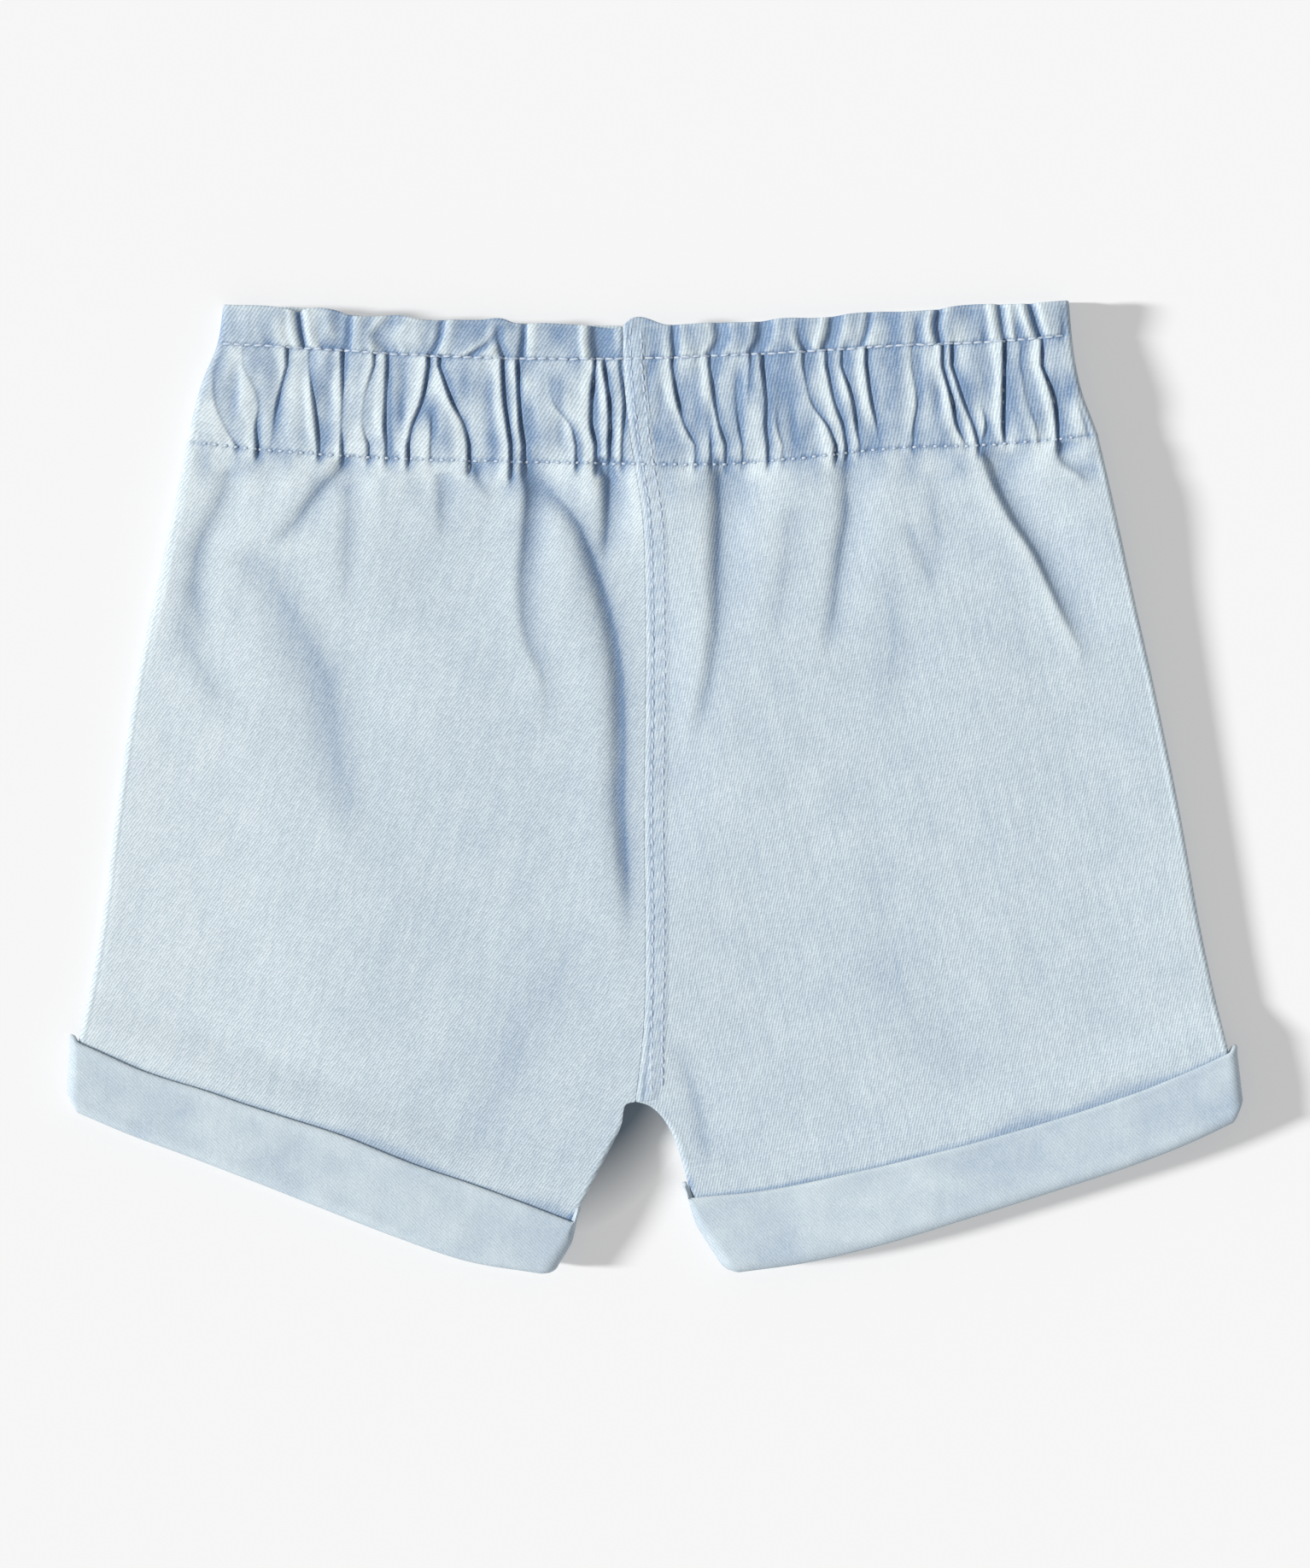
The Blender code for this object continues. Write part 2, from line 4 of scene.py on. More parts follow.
import bpy
import numpy as np
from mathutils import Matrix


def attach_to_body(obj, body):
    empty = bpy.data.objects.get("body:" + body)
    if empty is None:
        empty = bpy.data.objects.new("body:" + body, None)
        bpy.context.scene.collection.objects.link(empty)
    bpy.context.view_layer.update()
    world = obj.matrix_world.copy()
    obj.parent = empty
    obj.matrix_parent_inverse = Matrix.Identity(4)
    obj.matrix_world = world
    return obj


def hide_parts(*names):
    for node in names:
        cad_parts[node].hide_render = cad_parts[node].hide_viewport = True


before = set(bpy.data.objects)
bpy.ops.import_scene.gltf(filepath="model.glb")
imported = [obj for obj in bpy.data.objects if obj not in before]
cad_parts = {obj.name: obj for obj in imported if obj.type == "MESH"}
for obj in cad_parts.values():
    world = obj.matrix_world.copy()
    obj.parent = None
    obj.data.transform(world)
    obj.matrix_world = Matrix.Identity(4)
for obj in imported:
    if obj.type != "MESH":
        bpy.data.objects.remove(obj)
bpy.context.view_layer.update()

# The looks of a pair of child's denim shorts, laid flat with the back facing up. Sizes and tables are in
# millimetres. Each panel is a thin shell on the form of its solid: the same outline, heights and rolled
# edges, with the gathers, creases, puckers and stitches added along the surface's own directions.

MM = 0.001

# Sizes of the solids.
CLOTH = 1.2
SEAM_GAP = 0.3
LEAST_GAP = 0.35
CUFF_HEIGHT = 22.0
CUFF_WALL = 1.8
CUFF_RISE = 12.0
CUFF_SLANT = math.radians(20.0)
LEG_SPACING = 1.9
SIDES = {"left": -1, "right": 1}
FRONT_FLAT = CLOTH / 2
FRONT_IN_CUFF = CUFF_WALL + SEAM_GAP + CLOTH / 2
BACK_IN_CUFF = FRONT_IN_CUFF + LEG_SPACING
CUFF_AXIS = FRONT_IN_CUFF + LEG_SPACING / 2
CUFF_RADIUS = CUFF_AXIS
EVENNESS = 0.7
CASING_CLEARANCE = 5.0
CROTCH_SPREAD = 0.1
LAP_WIDTH = 6.4


def table(columns, *rows):
    """Rows with named columns."""
    row_type = namedtuple("Row", columns)
    return tuple(row_type(*row) for row in rows)


# The waist lines: y of the frill's top edge and of the upper and the lower stitch line.
WAIST_LINES = table(
    "x edge upper lower",
    (-132.0, 135.6, 125.2, 97.2),
    (-118.0, 135.0, 124.4, 95.6),
    (-95.0, 133.3, 123.1, 93.7),
    (-68.0, 131.4, 121.4, 92.2),
    (-38.0, 130.2, 120.4, 91.5),
    (-8.0, 129.5, 120.3, 90.9),
    (18.0, 130.0, 121.2, 90.8),
    (42.0, 131.4, 122.3, 92.6),
    (66.0, 133.2, 123.9, 95.2),
    (92.0, 134.9, 125.0, 96.1),
    (116.0, 136.2, 126.9, 98.1),
    (128.0, 136.6, 128.2, 99.6),
)

# The outline above the cuffs: x of the left side, the centre back seam and the right side.
OUTLINE = table(
    "y left seam right",
    (-66.5, -160.6, -3.1, 159.0),
    (-42.5, -156.1, -2.7, 153.7),
    (-6.5, -151.1, -3.0, 147.2),
    (29.5, -145.6, -2.6, 139.8),
    (53.5, -140.5, -2.7, 134.4),
    (77.5, -135.2, -3.6, 129.2),
    (97.0, -131.1, -6.6, 124.6),
    (113.0, -127.1, -8.4, 119.1),
    (125.0, -122.6, -9.1, 117.1),
    (136.0, -121.0, -8.8, 116.1),
)
CROTCH = (-5.4, -87.9)

LEG_SIDE_IN_CUFF = {
    "left": ((-161.9, -72.5), (-162.7, -80.0), (-162.8, -88.6)),
    "right": ((160.8, -74.0), (162.6, -82.0), (163.2, -91.6)),
}
INSEAM = {
    "left": (
        (-7.2, -88.4), (-9.0, -94.0), (-12.4, -100.6), (-17.6, -110.6), (-24.4, -123.6), (-31.4, -133.8),
    ),
    "right": (
        (-2.8, -88.7), (1.8, -92.2), (6.0, -99.8), (8.2, -107.0), (10.6, -114.6), (22.6, -132.9),
    ),
}
CUFF_COLUMNS = "x_top y_top x_fold y_fold"
CUFF_LINES = {
    "left": table(
        CUFF_COLUMNS,
        (-161.4, -71.0, -161.6, -91.0),
        (-142.7, -79.1, -148.0, -96.8),
        (-125.6, -84.6, -130.5, -103.3),
        (-107.4, -90.6, -111.0, -110.8),
        (-88.2, -96.8, -92.0, -118.3),
        (-69.0, -104.3, -74.0, -125.3),
        (-45.1, -113.0, -52.0, -132.7),
        (-22.9, -121.4, -32.6, -135.9),
    ),
    "right": table(
        CUFF_COLUMNS,
        (160.5, -74.0, 161.9, -93.8),
        (147.5, -80.0, 150.0, -99.4),
        (132.0, -86.0, 134.5, -105.5),
        (111.0, -92.7, 114.0, -112.3),
        (84.0, -100.3, 88.5, -120.4),
        (57.0, -107.0, 62.5, -128.3),
        (33.0, -111.9, 40.0, -133.4),
        (9.6, -114.6, 23.9, -135.6),
    ),
}

# How high the back's middle surface lies, by the distance below the lower stitch line.
LOFT = table(
    "below height",
    (-46.0, 4.9),
    (-37.0, 5.4),
    (-31.0, 4.9),
    (-28.0, 4.9),
    (-15.0, 5.6),
    (-2.5, 4.9),
    (2.5, 4.9),
    (12.0, 5.3),
    (45.0, 4.4),
    (90.0, 3.6),
    (140.0, 3.2),
    (240.0, 3.2),
)

# The gathers of the casing: x of each at four heights down to the lower stitch line, then its depth there.
GATHER_LEVELS = (96.2, 101.5, 107.5, 118.3)
GATHERS = table(
    "x_top x_middle x_low x_row d_top d_middle d_low d_row",
    (-123.5, -122.8, -120.4, -117.2, 0.5, 0.5, 0.5, 0.7),
    (-115.3, -110.8, -111.7, -111.5, 0.4, 0.5, 0.9, 1.5),
    (-103.1, -105.7, -106.7, -107.6, 1.3, 1.0, 0.6, 0.4),
    (-96.8, -95.4, -94.7, -94.2, 0.6, 1.3, 1.7, 1.2),
    (-87.5, -87.5, -87.7, -87.7, 1.4, 0.9, 0.7, 1.2),
    (-78.6, -81.5, -81.7, -80.3, 0.9, 0.4, 0.4, 1.0),
    (-75.0, -75.5, -75.7, -75.2, 1.4, 1.3, 1.3, 0.9),
    (-63.5, -65.6, -68.0, -69.2, 2.2, 1.2, 1.2, 1.5),
    (-60.4, -56.5, -53.4, -52.2, 1.8, 1.6, 1.0, 1.9),
    (-62.3, -62.3, -62.5, -62.8, 0.0, 0.0, 0.8, 0.8),
    (-42.8, -42.1, -41.2, -40.4, 2.2, 2.4, 2.6, 2.8),
    (-38.5, -38.0, -37.6, -36.8, 2.2, 2.3, 2.2, 2.0),
    (-29.2, -28.0, -23.4, -22.0, 0.2, 0.5, 0.7, 1.2),
    (-16.9, -17.9, -17.9, -16.7, 2.0, 2.4, 2.2, 1.9),
    (-14.3, -12.8, -12.6, -12.8, 1.8, 2.6, 2.6, 2.4),
    (-9.7, -8.5, -8.8, -9.2, 0.9, 1.5, 1.2, 1.1),
    (4.7, 6.6, 8.5, 11.4, 1.4, 1.5, 0.9, 0.8),
    (15.2, 16.9, 18.1, 19.8, 1.5, 1.6, 1.2, 1.2),
    (15.7, 15.7, 15.7, 15.7, 0.0, 0.0, 0.4, 0.9),
    (22.7, 22.9, 23.6, 24.6, 0.2, 0.6, 0.8, 0.8),
    (26.8, 25.8, 25.1, 24.6, 0.9, 0.3, 0.0, 0.0),
    (30.1, 31.2, 31.0, 31.6, 1.5, 1.2, 1.2, 1.2),
    (34.2, 34.2, 34.4, 35.9, 0.0, 0.3, 0.7, 0.6),
    (41.6, 44.3, 48.4, 50.5, 0.9, 0.7, 1.2, 1.6),
    (48.1, 50.5, 52.7, 53.6, 1.3, 1.0, 1.2, 1.3),
    (52.4, 55.6, 56.5, 57.5, 1.2, 1.3, 1.4, 0.9),
    (59.2, 60.8, 62.3, 63.0, 1.8, 1.4, 0.9, 0.3),
    (72.1, 73.5, 72.6, 72.4, 0.5, 0.7, 1.0, 0.7),
    (80.5, 83.4, 84.6, 87.2, 2.0, 2.2, 1.7, 0.5),
    (83.2, 86.8, 89.2, 90.6, 1.8, 1.4, 1.3, 1.5),
    (91.8, 91.8, 92.8, 91.8, 0.0, 0.3, 1.2, 0.4),
    (97.8, 97.6, 97.6, 98.0, 2.0, 2.0, 1.8, 0.5),
    (102.6, 104.5, 106.9, 107.6, 0.6, 0.4, 0.6, 0.3),
    (108.4, 112.0, 112.7, 112.9, 2.0, 2.1, 2.5, 1.7),
    (117.2, 118.7, 120.8, 121.6, 0.5, 0.3, 0.6, 0.3),
)
# The folds of the frill: x at the edge, halfway and at the upper stitch line, the depth at the edge and at
# the line, how softly each starts on the left and ends on the right, and how far the cloth beyond stays low.
FRILL_FOLDS = table(
    "x_edge x_middle x_row edge row left right stay",
    (-110.0, -110.0, -109.0, 0.0, 0.7, 2.6, 2.4, 3.0),
    (-100.6, -100.0, -99.0, 2.9, 2.5, 0.25, 0.5, 1.5),
    (-95.0, -95.0, -93.5, 0.1, 1.1, 1.2, 1.8, 3.0),
    (-85.2, -85.5, -86.0, 1.2, 1.6, 3.2, 0.6, 0.7),
    (-75.0, -78.6, -77.2, 0.9, 1.4, 1.0, 2.6, 5.0),
    (-59.4, -60.3, -62.3, 1.8, 1.7, 2.4, 0.6, 0.7),
    (-43.0, -46.5, -53.0, 0.0, 1.2, 0.6, 1.0, 2.4),
    (-44.6, -44.2, -43.2, 0.1, 2.2, 0.4, 0.8, 1.8),
    (-36.4, -36.6, -37.0, 2.0, 2.7, 3.0, 0.5, 0.6),
    (-18.6, -18.6, -18.0, 2.8, 2.8, 0.25, 1.6, 7.0),
    (-8.9, -8.9, -8.9, 0.8, 0.6, 1.6, 0.2, 0.3),
    (4.6, 4.6, 4.9, 0.9, 1.9, 0.3, 0.6, 1.7),
    (17.0, 17.2, 14.6, 1.2, 1.5, 1.5, 1.2, 3.0),
    (29.0, 28.6, 26.4, 1.9, 1.4, 1.2, 1.2, 3.2),
    (40.0, 40.0, 41.8, 0.3, 1.6, 0.7, 0.8, 2.0),
    (48.8, 48.0, 46.2, 2.2, 2.0, 0.5, 1.5, 3.4),
    (60.2, 59.4, 57.8, 1.1, 1.2, 2.6, 0.6, 0.8),
    (73.0, 73.0, 73.2, 0.0, 1.2, 1.0, 0.7, 1.6),
    (79.0, 78.4, 79.4, 2.8, 2.6, 0.6, 0.5, 1.2),
    (91.8, 91.8, 91.8, 0.0, 0.8, 2.0, 0.9, 1.5),
    (95.5, 96.2, 97.2, 2.7, 2.4, 0.25, 1.2, 1.8),
    (99.8, 100.2, 101.0, 0.1, 1.0, 0.5, 0.8, 2.0),
    (104.2, 105.6, 107.2, 3.0, 2.8, 0.5, 0.5, 1.7),
    (113.6, 113.6, 114.4, 0.0, 1.2, 0.5, 0.8, 1.8),
)
# How far the frill's edge stands above its line, on the back and on the front.
EDGE_WAVES = table(
    "x rise",
    (-120.0, 0.0),
    (-103.0, -0.1),
    (-100.3, -0.6),
    (-97.5, 0.4),
    (-90.0, 0.7),
    (-85.0, -0.5),
    (-79.0, -0.4),
    (-71.5, 0.5),
    (-64.5, -0.5),
    (-58.0, -0.1),
    (-49.0, 0.2),
    (-42.6, 0.75),
    (-39.6, -0.2),
    (-30.0, -0.1),
    (-18.0, -0.5),
    (-11.0, -1.1),
    (-9.4, -0.8),
    (-8.2, 0.5),
    (4.0, -0.2),
    (15.0, 0.1),
    (29.0, -0.2),
    (34.0, 0.2),
    (48.5, -0.3),
    (55.0, 0.2),
    (79.0, -0.4),
    (84.0, 0.2),
    (104.4, -0.3),
    (116.0, 0.1),
)
FRONT_EDGE_RISE = (0.9, -99.5, 7.0, 4)
# The front's gathers are the back's, mirrored, spread a little and kept shallow.
FRONT_SPREAD = 0.97
FRONT_SHIFT = 1.5
FRONT_DEPTH = 0.5
FRONT_FLATNESS = 1.6

# A gather cut across, from left to right: a rounded ridge, a narrow slit at its foot and a shallow hollow.
# Pairs of widths are to the left and to the right.
RIDGE_RISE = 0.56
RIDGE_AWAY = 0.95
RIDGE_WIDTHS = (2.0, 0.75)
SLIT_DEPTH = 1.0
SLIT_START = 0.3  # a gather shallower than this has no slit
SLIT_WIDTHS = (0.38, 0.38 * 1.25)
HOLLOW_DEPTH = 0.75
HOLLOW_START = (-0.45, 0.3)
HOLLOW_REACH = 3.0
GATHER_SWELL = (0.6, 1.5)  # how fast a gather's whole profile grows with its depth
GATHER_REACH = 9.0
GATHER_SPREAD = 10.0  # the distance below the lower row over which a gather grows twice as wide
GATHER_RUN = (1.6, 1.3)  # how far a gather runs down the leg, and how much further for each mm of depth
FRILL_PUFF = 0.5
FRILL_BESIDE = ((0.22, -1.6, 1.3), (0.12, 1.8, 1.4))  # the rise on the left and on the right of a fold
CASING_START = (-0.7, 0.4)  # the distances from the upper row over which the casing takes over from the frill
FRILL_START = (-0.5, 0.6)

# The slight folds between the gathers.
SMALL_GATHERS = 34
SMALL_DEPTHS = (0.35, 0.85)
SMALL_SPAN = (-119.0, 118.0)
SMALL_WANDER = 2.5
SMALL_LEAN = 6.0
SMALL_WIDTHS = (1.9, 1.3)
SMALL_REACH = 7.0
SMALL_SHARE = 0.45
SMALL_SEED = 77

# The longer creases of the legs: the points on each from the top down, its depth at the top, in the middle
# and at the end, how softly it starts on the left and ends on the right, how far the cloth beyond stays low,
# and how far the cloth on the left stands proud.
CREASES = table(
    "path top middle end left right stay proud",
    (((-37.8, 92.0), (-36.2, 85.2), (-36.6, 72.0), (-37.5, 56.0), (-35.6, 41.0), (-31.4, 31.0),
      (-30.6, 20.0)), 3.6, 1.1, 0.1, 0.8, 2.6, 7.5, 0.5),
    (((-31.6, 86.0), (-21.8, 74.4), (-18.2, 66.2), (-13.4, 52.0), (-11.3, 44.0), (-9.6, 34.0),
      (-8.8, 22.6), (-8.6, 9.0), (-8.8, -4.0), (-8.2, -18.0), (-7.6, -30.0), (-7.4, -41.0)),
     0.8, 5.0, 0.0, 2.6, 0.3, 15.0, 0.9),
    (((-15.5, 92.0), (-13.3, 83.5), (-13.2, 78.0), (-14.3, 65.0)), 3.0, 3.2, 1.0, 1.2, 0.25, 6.0, 0.8),
    (((17.6, 90.5), (17.8, 77.5), (17.2, 57.0), (17.2, 48.0), (15.4, 32.0), (11.8, 14.0)),
     4.4, 1.6, 0.3, 2.2, 0.8, 9.0, 0.9),
    (((91.6, 94.0), (94.2, 86.6), (99.7, 75.6), (105.9, 66.2), (110.8, 56.4), (115.8, 46.3), (120.1, 38.2)),
     3.4, 3.2, 0.3, 0.3, 1.9, 10.0, 0.9),
    (((112.9, 97.0), (114.6, 90.7), (118.7, 88.1), (121.3, 84.7)), 1.8, 1.2, 0.2, 0.4, 1.2, 5.0, 0.4),
    (((-86.4, 92.5), (-88.6, 89.3), (-94.4, 83.3), (-98.0, 78.2), (-101.8, 73.0), (-107.0, 68.0)),
     2.0, 1.3, 0.3, 1.8, 1.0, 7.0, 0.4),
    (((-86.2, 85.0), (-86.2, 75.0), (-86.4, 64.0), (-87.0, 52.0)), 0.6, 0.6, 0.3, 2.0, 1.8, 5.0, 0.2),
    (((-120.1, 89.3), (-121.0, 83.3), (-123.8, 76.6), (-127.2, 69.8), (-128.6, 64.0), (-129.2, 57.6),
      (-126.0, 42.0)), 0.8, 0.9, 0.3, 2.4, 1.8, 6.0, 0.4),
    (((-112.2, 65.5), (-101.4, 48.7), (-91.8, 29.5), (-88.2, 5.5), (-81.0, -13.7)),
     0.6, 1.1, 0.2, 8.0, 4.0, 16.0, 0.6),
    (((-131.4, 57.6), (-130.9, 41.5), (-125.0, 29.5), (-121.0, 17.0)), 0.3, 0.7, 0.1, 4.0, 3.0, 8.0, 0.2),
    (((-61.0, 88.0), (-60.0, 78.0), (-59.5, 70.0)), 0.8, 0.6, 0.1, 1.2, 1.2, 5.0, 0.3),
    (((-51.0, 91.0), (-49.5, 86.0), (-46.5, 81.0)), 1.4, 0.7, 0.1, 0.8, 0.8, 4.5, 0.4),
    (((53.0, 92.0), (53.4, 78.0), (51.4, 64.0), (50.2, 52.0), (48.0, 36.0)),
     1.4, 1.5, 0.1, 2.0, 0.8, 7.0, 0.3),
    (((38.0, 78.0), (36.0, 60.0), (33.0, 42.0)), 0.4, 0.5, 0.1, 2.6, 2.0, 8.0, 0.2),
    (((76.0, 88.0), (78.6, 74.0), (78.0, 58.0)), 0.4, 0.5, 0.1, 3.0, 2.0, 8.0, 0.2),
    (((64.0, 62.0), (67.0, 42.0), (64.0, 18.0)), 0.2, 0.6, 0.1, 5.0, 4.0, 10.0, 0.0),
    (((70.0, 74.0), (74.5, 64.0), (78.0, 54.0)), 0.3, 0.5, 0.1, 1.6, 1.4, 6.0, 0.1),
    (((6.4, -72.0), (11.6, -88.0), (15.2, -106.0)), 0.2, 0.7, 0.5, 2.6, 0.9, 8.0, 0.2),
    (((-20.0, -40.0), (-40.0, -76.0), (-52.0, -104.0)), 0.2, 0.45, 0.1, 8.0, 5.0, 16.0, 0.0),
    (((60.0, -20.0), (70.0, -60.0), (86.0, -88.0)), 0.1, 0.4, 0.1, 9.0, 5.0, 16.0, 0.0),
)
CREASE_CUSP = 1.05
CREASE_RISE = 0.65
CREASE_ENDS = ((-0.06, 0.05), (1.15, 0.8))  # the shares of its length over which a crease starts and ends

# The unevenness of washed cloth: waves of a rise, a size, a stretch along x and along y, and a seed.
CRUMPLES = table(
    "part rise size along_x along_y seed",
    ("leg", 0.30, 30.0, 1.0, 1.0, 1),
    ("leg", 0.08, 9.0, 1.0, 0.6, 2),
    ("leg", 0.02, 3.5, 1.0, 1.0, 3),
    ("casing", 0.38, 4.4, 1.0, 0.4, 4),
    ("casing", 0.08, 1.9, 1.0, 0.6, 5),
    ("under the lower row", 0.42, 6.0, 1.0, 0.5, 6),
    ("wear under the lower row", 1.0, 4.5, 1.0, 0.6, 8),
    ("lap's puckers", 1.4, 9.0, 1.0, 1.0, 11),
    ("lap", 0.04, 1.6, 1.0, 2.0, 12),
    ("cuff", 0.16, 15.0, 1.0, 1.0, 21),
    ("cuff", 0.09, 5.0, 0.8, 1.0, 22),
    ("cuff", 0.03, 2.0, 1.0, 1.0, 23),
    ("cuff's edge", 0.25, 13.0, 1.0, 1.0, 24),
    ("upper row", 1.0, 2.2, 1.0, 1.0, 40),
    ("lower row", 1.0, 2.2, 1.0, 1.0, 41),
    ("gather", 0.5, 4.5, 1.0, 1.0, 52),
)
UNDER_ROW_PUFF = 0.3

# The stitches. Each kind has a length, the depth of its ends, the height of its arch, a thickness and the
# place of the first one along the row.
STITCH_PITCH = 3.0
STITCH_WANDER = 0.10
STITCH_TURN = 0.13
STITCH_UNEVENNESS = 0.14
STITCH_AIM = 0.35 * STITCH_PITCH  # how far before and after itself a stitch looks for its direction
THREAD_CUT = (1.15, 0.85)  # the thread's width and height, pressed flat
Stitch = namedtuple("Stitch", "size sink arch thread first")
UPPER_STITCH = Stitch(2.4, -0.06, 0.14, 0.31, 1.2)
LOWER_STITCH = Stitch(1.2, -0.04, 0.22, 0.33, 1.9)
SEAM_STITCHES = (Stitch(2.3, 0.03, 0.12, 0.26, 0.8), Stitch(2.3, 0.03, 0.12, 0.26, 0.8 + 1.1))
FRONT_STITCH = Stitch(2.4, 0.24, 0.02, 0.27, 1.2)
FRONT_SEAM_STITCH = Stitch(2.3, 0.24, 0.02, 0.27, 0.8)
SEAM_ROWS = (2.1, 5.2)  # the twin rows' distances from the centre seam
SEAM_ROWS_TOP = 128.6
SEAM_ROWS_END = {"back": -86.4, "front": -84.0}
ROW_STEP = 0.1
ROW_MARGIN = 1.6

# Ridges and grooves: a height or depth, a place and a half-width.
ROW_GROOVE = (0.32, 0.0, 0.55)
ROW_PUCKER = (0.12, 0.0, 1.3)
SIDE_RIDGE = (0.07, 0.9, 0.35)
SIDE_GROOVE = (0.10, 1.6, 0.4)
LAP_RISE = 0.24
LAP_EDGE = (0.03, 1.0, 0.5)
LAP_CHANNEL = (0.11, 0.0, 0.6)  # under each of the twin rows
LAP_DROP = 0.20
LAP_PUCKER = 0.07
LAP_PUCKER_SLANT = 0.6
LAP_PUCKER_PITCH = 4.4
LAP_THICKNESS = 0.75
LAP_POINTS = 30

# The cuffs: how far the rim stands up round the leg's edge, and how far the fold is drawn in, at the inner
# and the outer ends.
CUFF_LOBES = (4.8, 1.3)
CUFF_ROUNDING = (0.5, 3.0)
CUFF_LEANING = 0.12
CUFF_INNER_REACH = 60.0  # an end nearer the middle than this is an inner one

# The fineness of the shells.
LEG_ROWS = {"back": (250, 58), "front": (90, 22)}
LEG_COLUMNS = {"back": 262, "front": 70}
LAP_COLUMNS = 12
ROLL_COLUMNS = 8
CASING_ROWS = {"back": (36, 106), "front": (14, 40)}
CASING_COLUMNS = {"back": 500, "front": 150}
INNER_SKIP = 4
RIM_STEPS = 3
SIDE_SQUARENESS = 3.0  # 2 is a round edge; a pressed one is squarer
SIDE_CLEAR = (0.2, 2.4)  # the distances from an edge over which the relief starts
# How far each shell's rim stands out at its first and last row and its first and last column.
BULGES = {"leg": (0.0, 0.2, 0.0, 0.05), "casing": (0.45, 0.0, 0.0, 0.05), "lap": (0.1, 0.1, 0.3, 0.05)}
CUFF_STATIONS = 230
CUFF_TURN_STEPS = 12
CUFF_SECTION_POINTS = 44

# Wear: 0.5 on plain cloth, more where the dye is rubbed off and less where it has stayed, and lower still for
# painted shade in the creases and above the cuffs. Triples are a strength, a place and a half-width.
WEAR_AND_SHADE_RANGE = (-0.35, 0.64)
RUBBING = {"casing": (9, 0.7), "leg": (7, 0.4), "front": (4, 0.4)}  # over how many points, and how strong
GATHER_BLUE = 0.8
GATHER_BLUE_WIDTHS = (0.7, 1.2)
HOLLOW_BLUE = 0.3
RIDGE_WHITE = 0.5
# The blue kept in the legs' creases, deepened as painted shade.
CREASE_BLUE_AND_SHADE = 0.62
SIDE_WEAR = (0.06, 0.9, 0.5)
ROW_BLUE = (0.18, 0.0, 0.9)
UNDER_ROW_WEAR = 0.4
FRILL_BLUE = 0.16
FRILL_EDGE_WEAR = (0.25, 0.0, 0.8)
LAP_DYE = {"back_seam": 0.3, "waist_seam": 0.2}
LAP_EDGE_WEAR = (0.30, 0.35, 0.35)
LAP_FOOT_BLUE = (0.22, 1.7, 0.5)
CUFF_EDGE_WEAR = (0.2, CUFF_HEIGHT, 0.7)
# Painted shade on the leg along the cuffs' top edges and in their openings, taken off the wear.
CUFF_PAINTED_SHADE = 0.45
CUFF_PAINTED_SHADE_WIDTHS = (0.5, 2.6)  # the least, and how much is added where it is wide
CUFF_PAINTED_SHADE_PLACES = ((-77.0, 13.0), (-30.0, 7.0), (104.0, 8.0), (130.0, 11.0))  # x and reach where it is wide
CUFF_OPENING_PAINTED_SHADE = 1.2
CUFF_OPENINGS = ((9.2, -111.8, 1.3, 2.2), (-22.9, -120.6, 1.3, 1.6))  # x, y and their half-widths

# How much paler the cloth is across the garment, beside its wear: paler towards the left side and darker from
# the middle rightwards.
TONE_ACROSS = table(
    "x leg casing cuff",
    (-160.0, 0.13, 0.04, 0.0),
    (-125.0, 0.08, 0.02, 0.0),
    (-95.0, 0.01, -0.07, 0.0),
    (-60.0, -0.06, -0.18, -0.02),
    (0.0, -0.08, -0.29, -0.08),
    (60.0, -0.07, -0.30, -0.08),
    (120.0, -0.06, -0.15, -0.08),
    (160.0, -0.01, -0.13, -0.08),
)
GATHERED_WEAVE = 0.85  # the cloth's own size on the casing, where its puffs stretch it
GRAIN_TURN = {"left": math.radians(12.5), "right": math.radians(-12.5)}

# Colours, as linear red, green and blue, and opacity.
INDIGO = (0.19, 0.29, 0.45, 1.0)
WHITE = (0.675, 0.758, 0.788, 1.0)
FLOOR_GREYS = ((0.596, 0.596, 0.596, 1.0), (0.604, 0.604, 0.604, 1.0))
FLOOR_GLOW = (1.0, 1.0, 1.0, 1.0)
# The painted shadow on the floor between the legs: its colour and its dimmed glow.
GAP_PAINTED_SHADOW_COLOUR = (0.09, 0.11, 0.13, 1.0)
GAP_PAINTED_SHADOW_GLOW = (0.17, 0.22, 0.27, 1.0)
ROOM_GREY = (0.44, 0.44, 0.44, 1.0)

# A shadow painted on the floor between the legs: a soft oval, its middle, half its sizes and its turn.
LEG_GAP_PLACE = (-0.011, -0.084, 0.0)
LEG_GAP_SIZE = (0.027, 0.050, 1.0)
LEG_GAP_TURN = (0.0, 0.0, -0.44)
LEG_GAP_SOFTNESS = (0.12, 0.68)

# The camera looks straight down, in metres.
CAMERA_PLACE = (0.0, 0.0012, 1.6)
SENSOR_HEIGHT = 24.0
VIEW_HEIGHT = 0.4406


# Curves.


def hermite(knots, values, at):
    """Values at the given places, on a smooth line through the knots."""
    knots, values = np.asarray(knots, float), np.asarray(values, float)
    slopes = np.gradient(values, knots, axis=0)
    at = np.clip(at, knots[0], knots[-1])
    i = np.clip(np.searchsorted(knots, at, side="right") - 1, 0, len(knots) - 2)
    span = knots[i + 1] - knots[i]
    t = (at - knots[i]) / span
    if values.ndim > 1:
        t, span = t[..., None], span[..., None]
    return (
        (1 + 2 * t) * (1 - t) ** 2 * values[i]
        + t * (1 - t) ** 2 * span * slopes[i]
        + t * t * (3 - 2 * t) * values[i + 1]
        - t * t * (1 - t) * span * slopes[i + 1]
    )


def read(rows, name, at):
    """A named column of a table whose first column rises, read at the given places."""
    return hermite([row[0] for row in rows], [getattr(row, name) for row in rows], at)


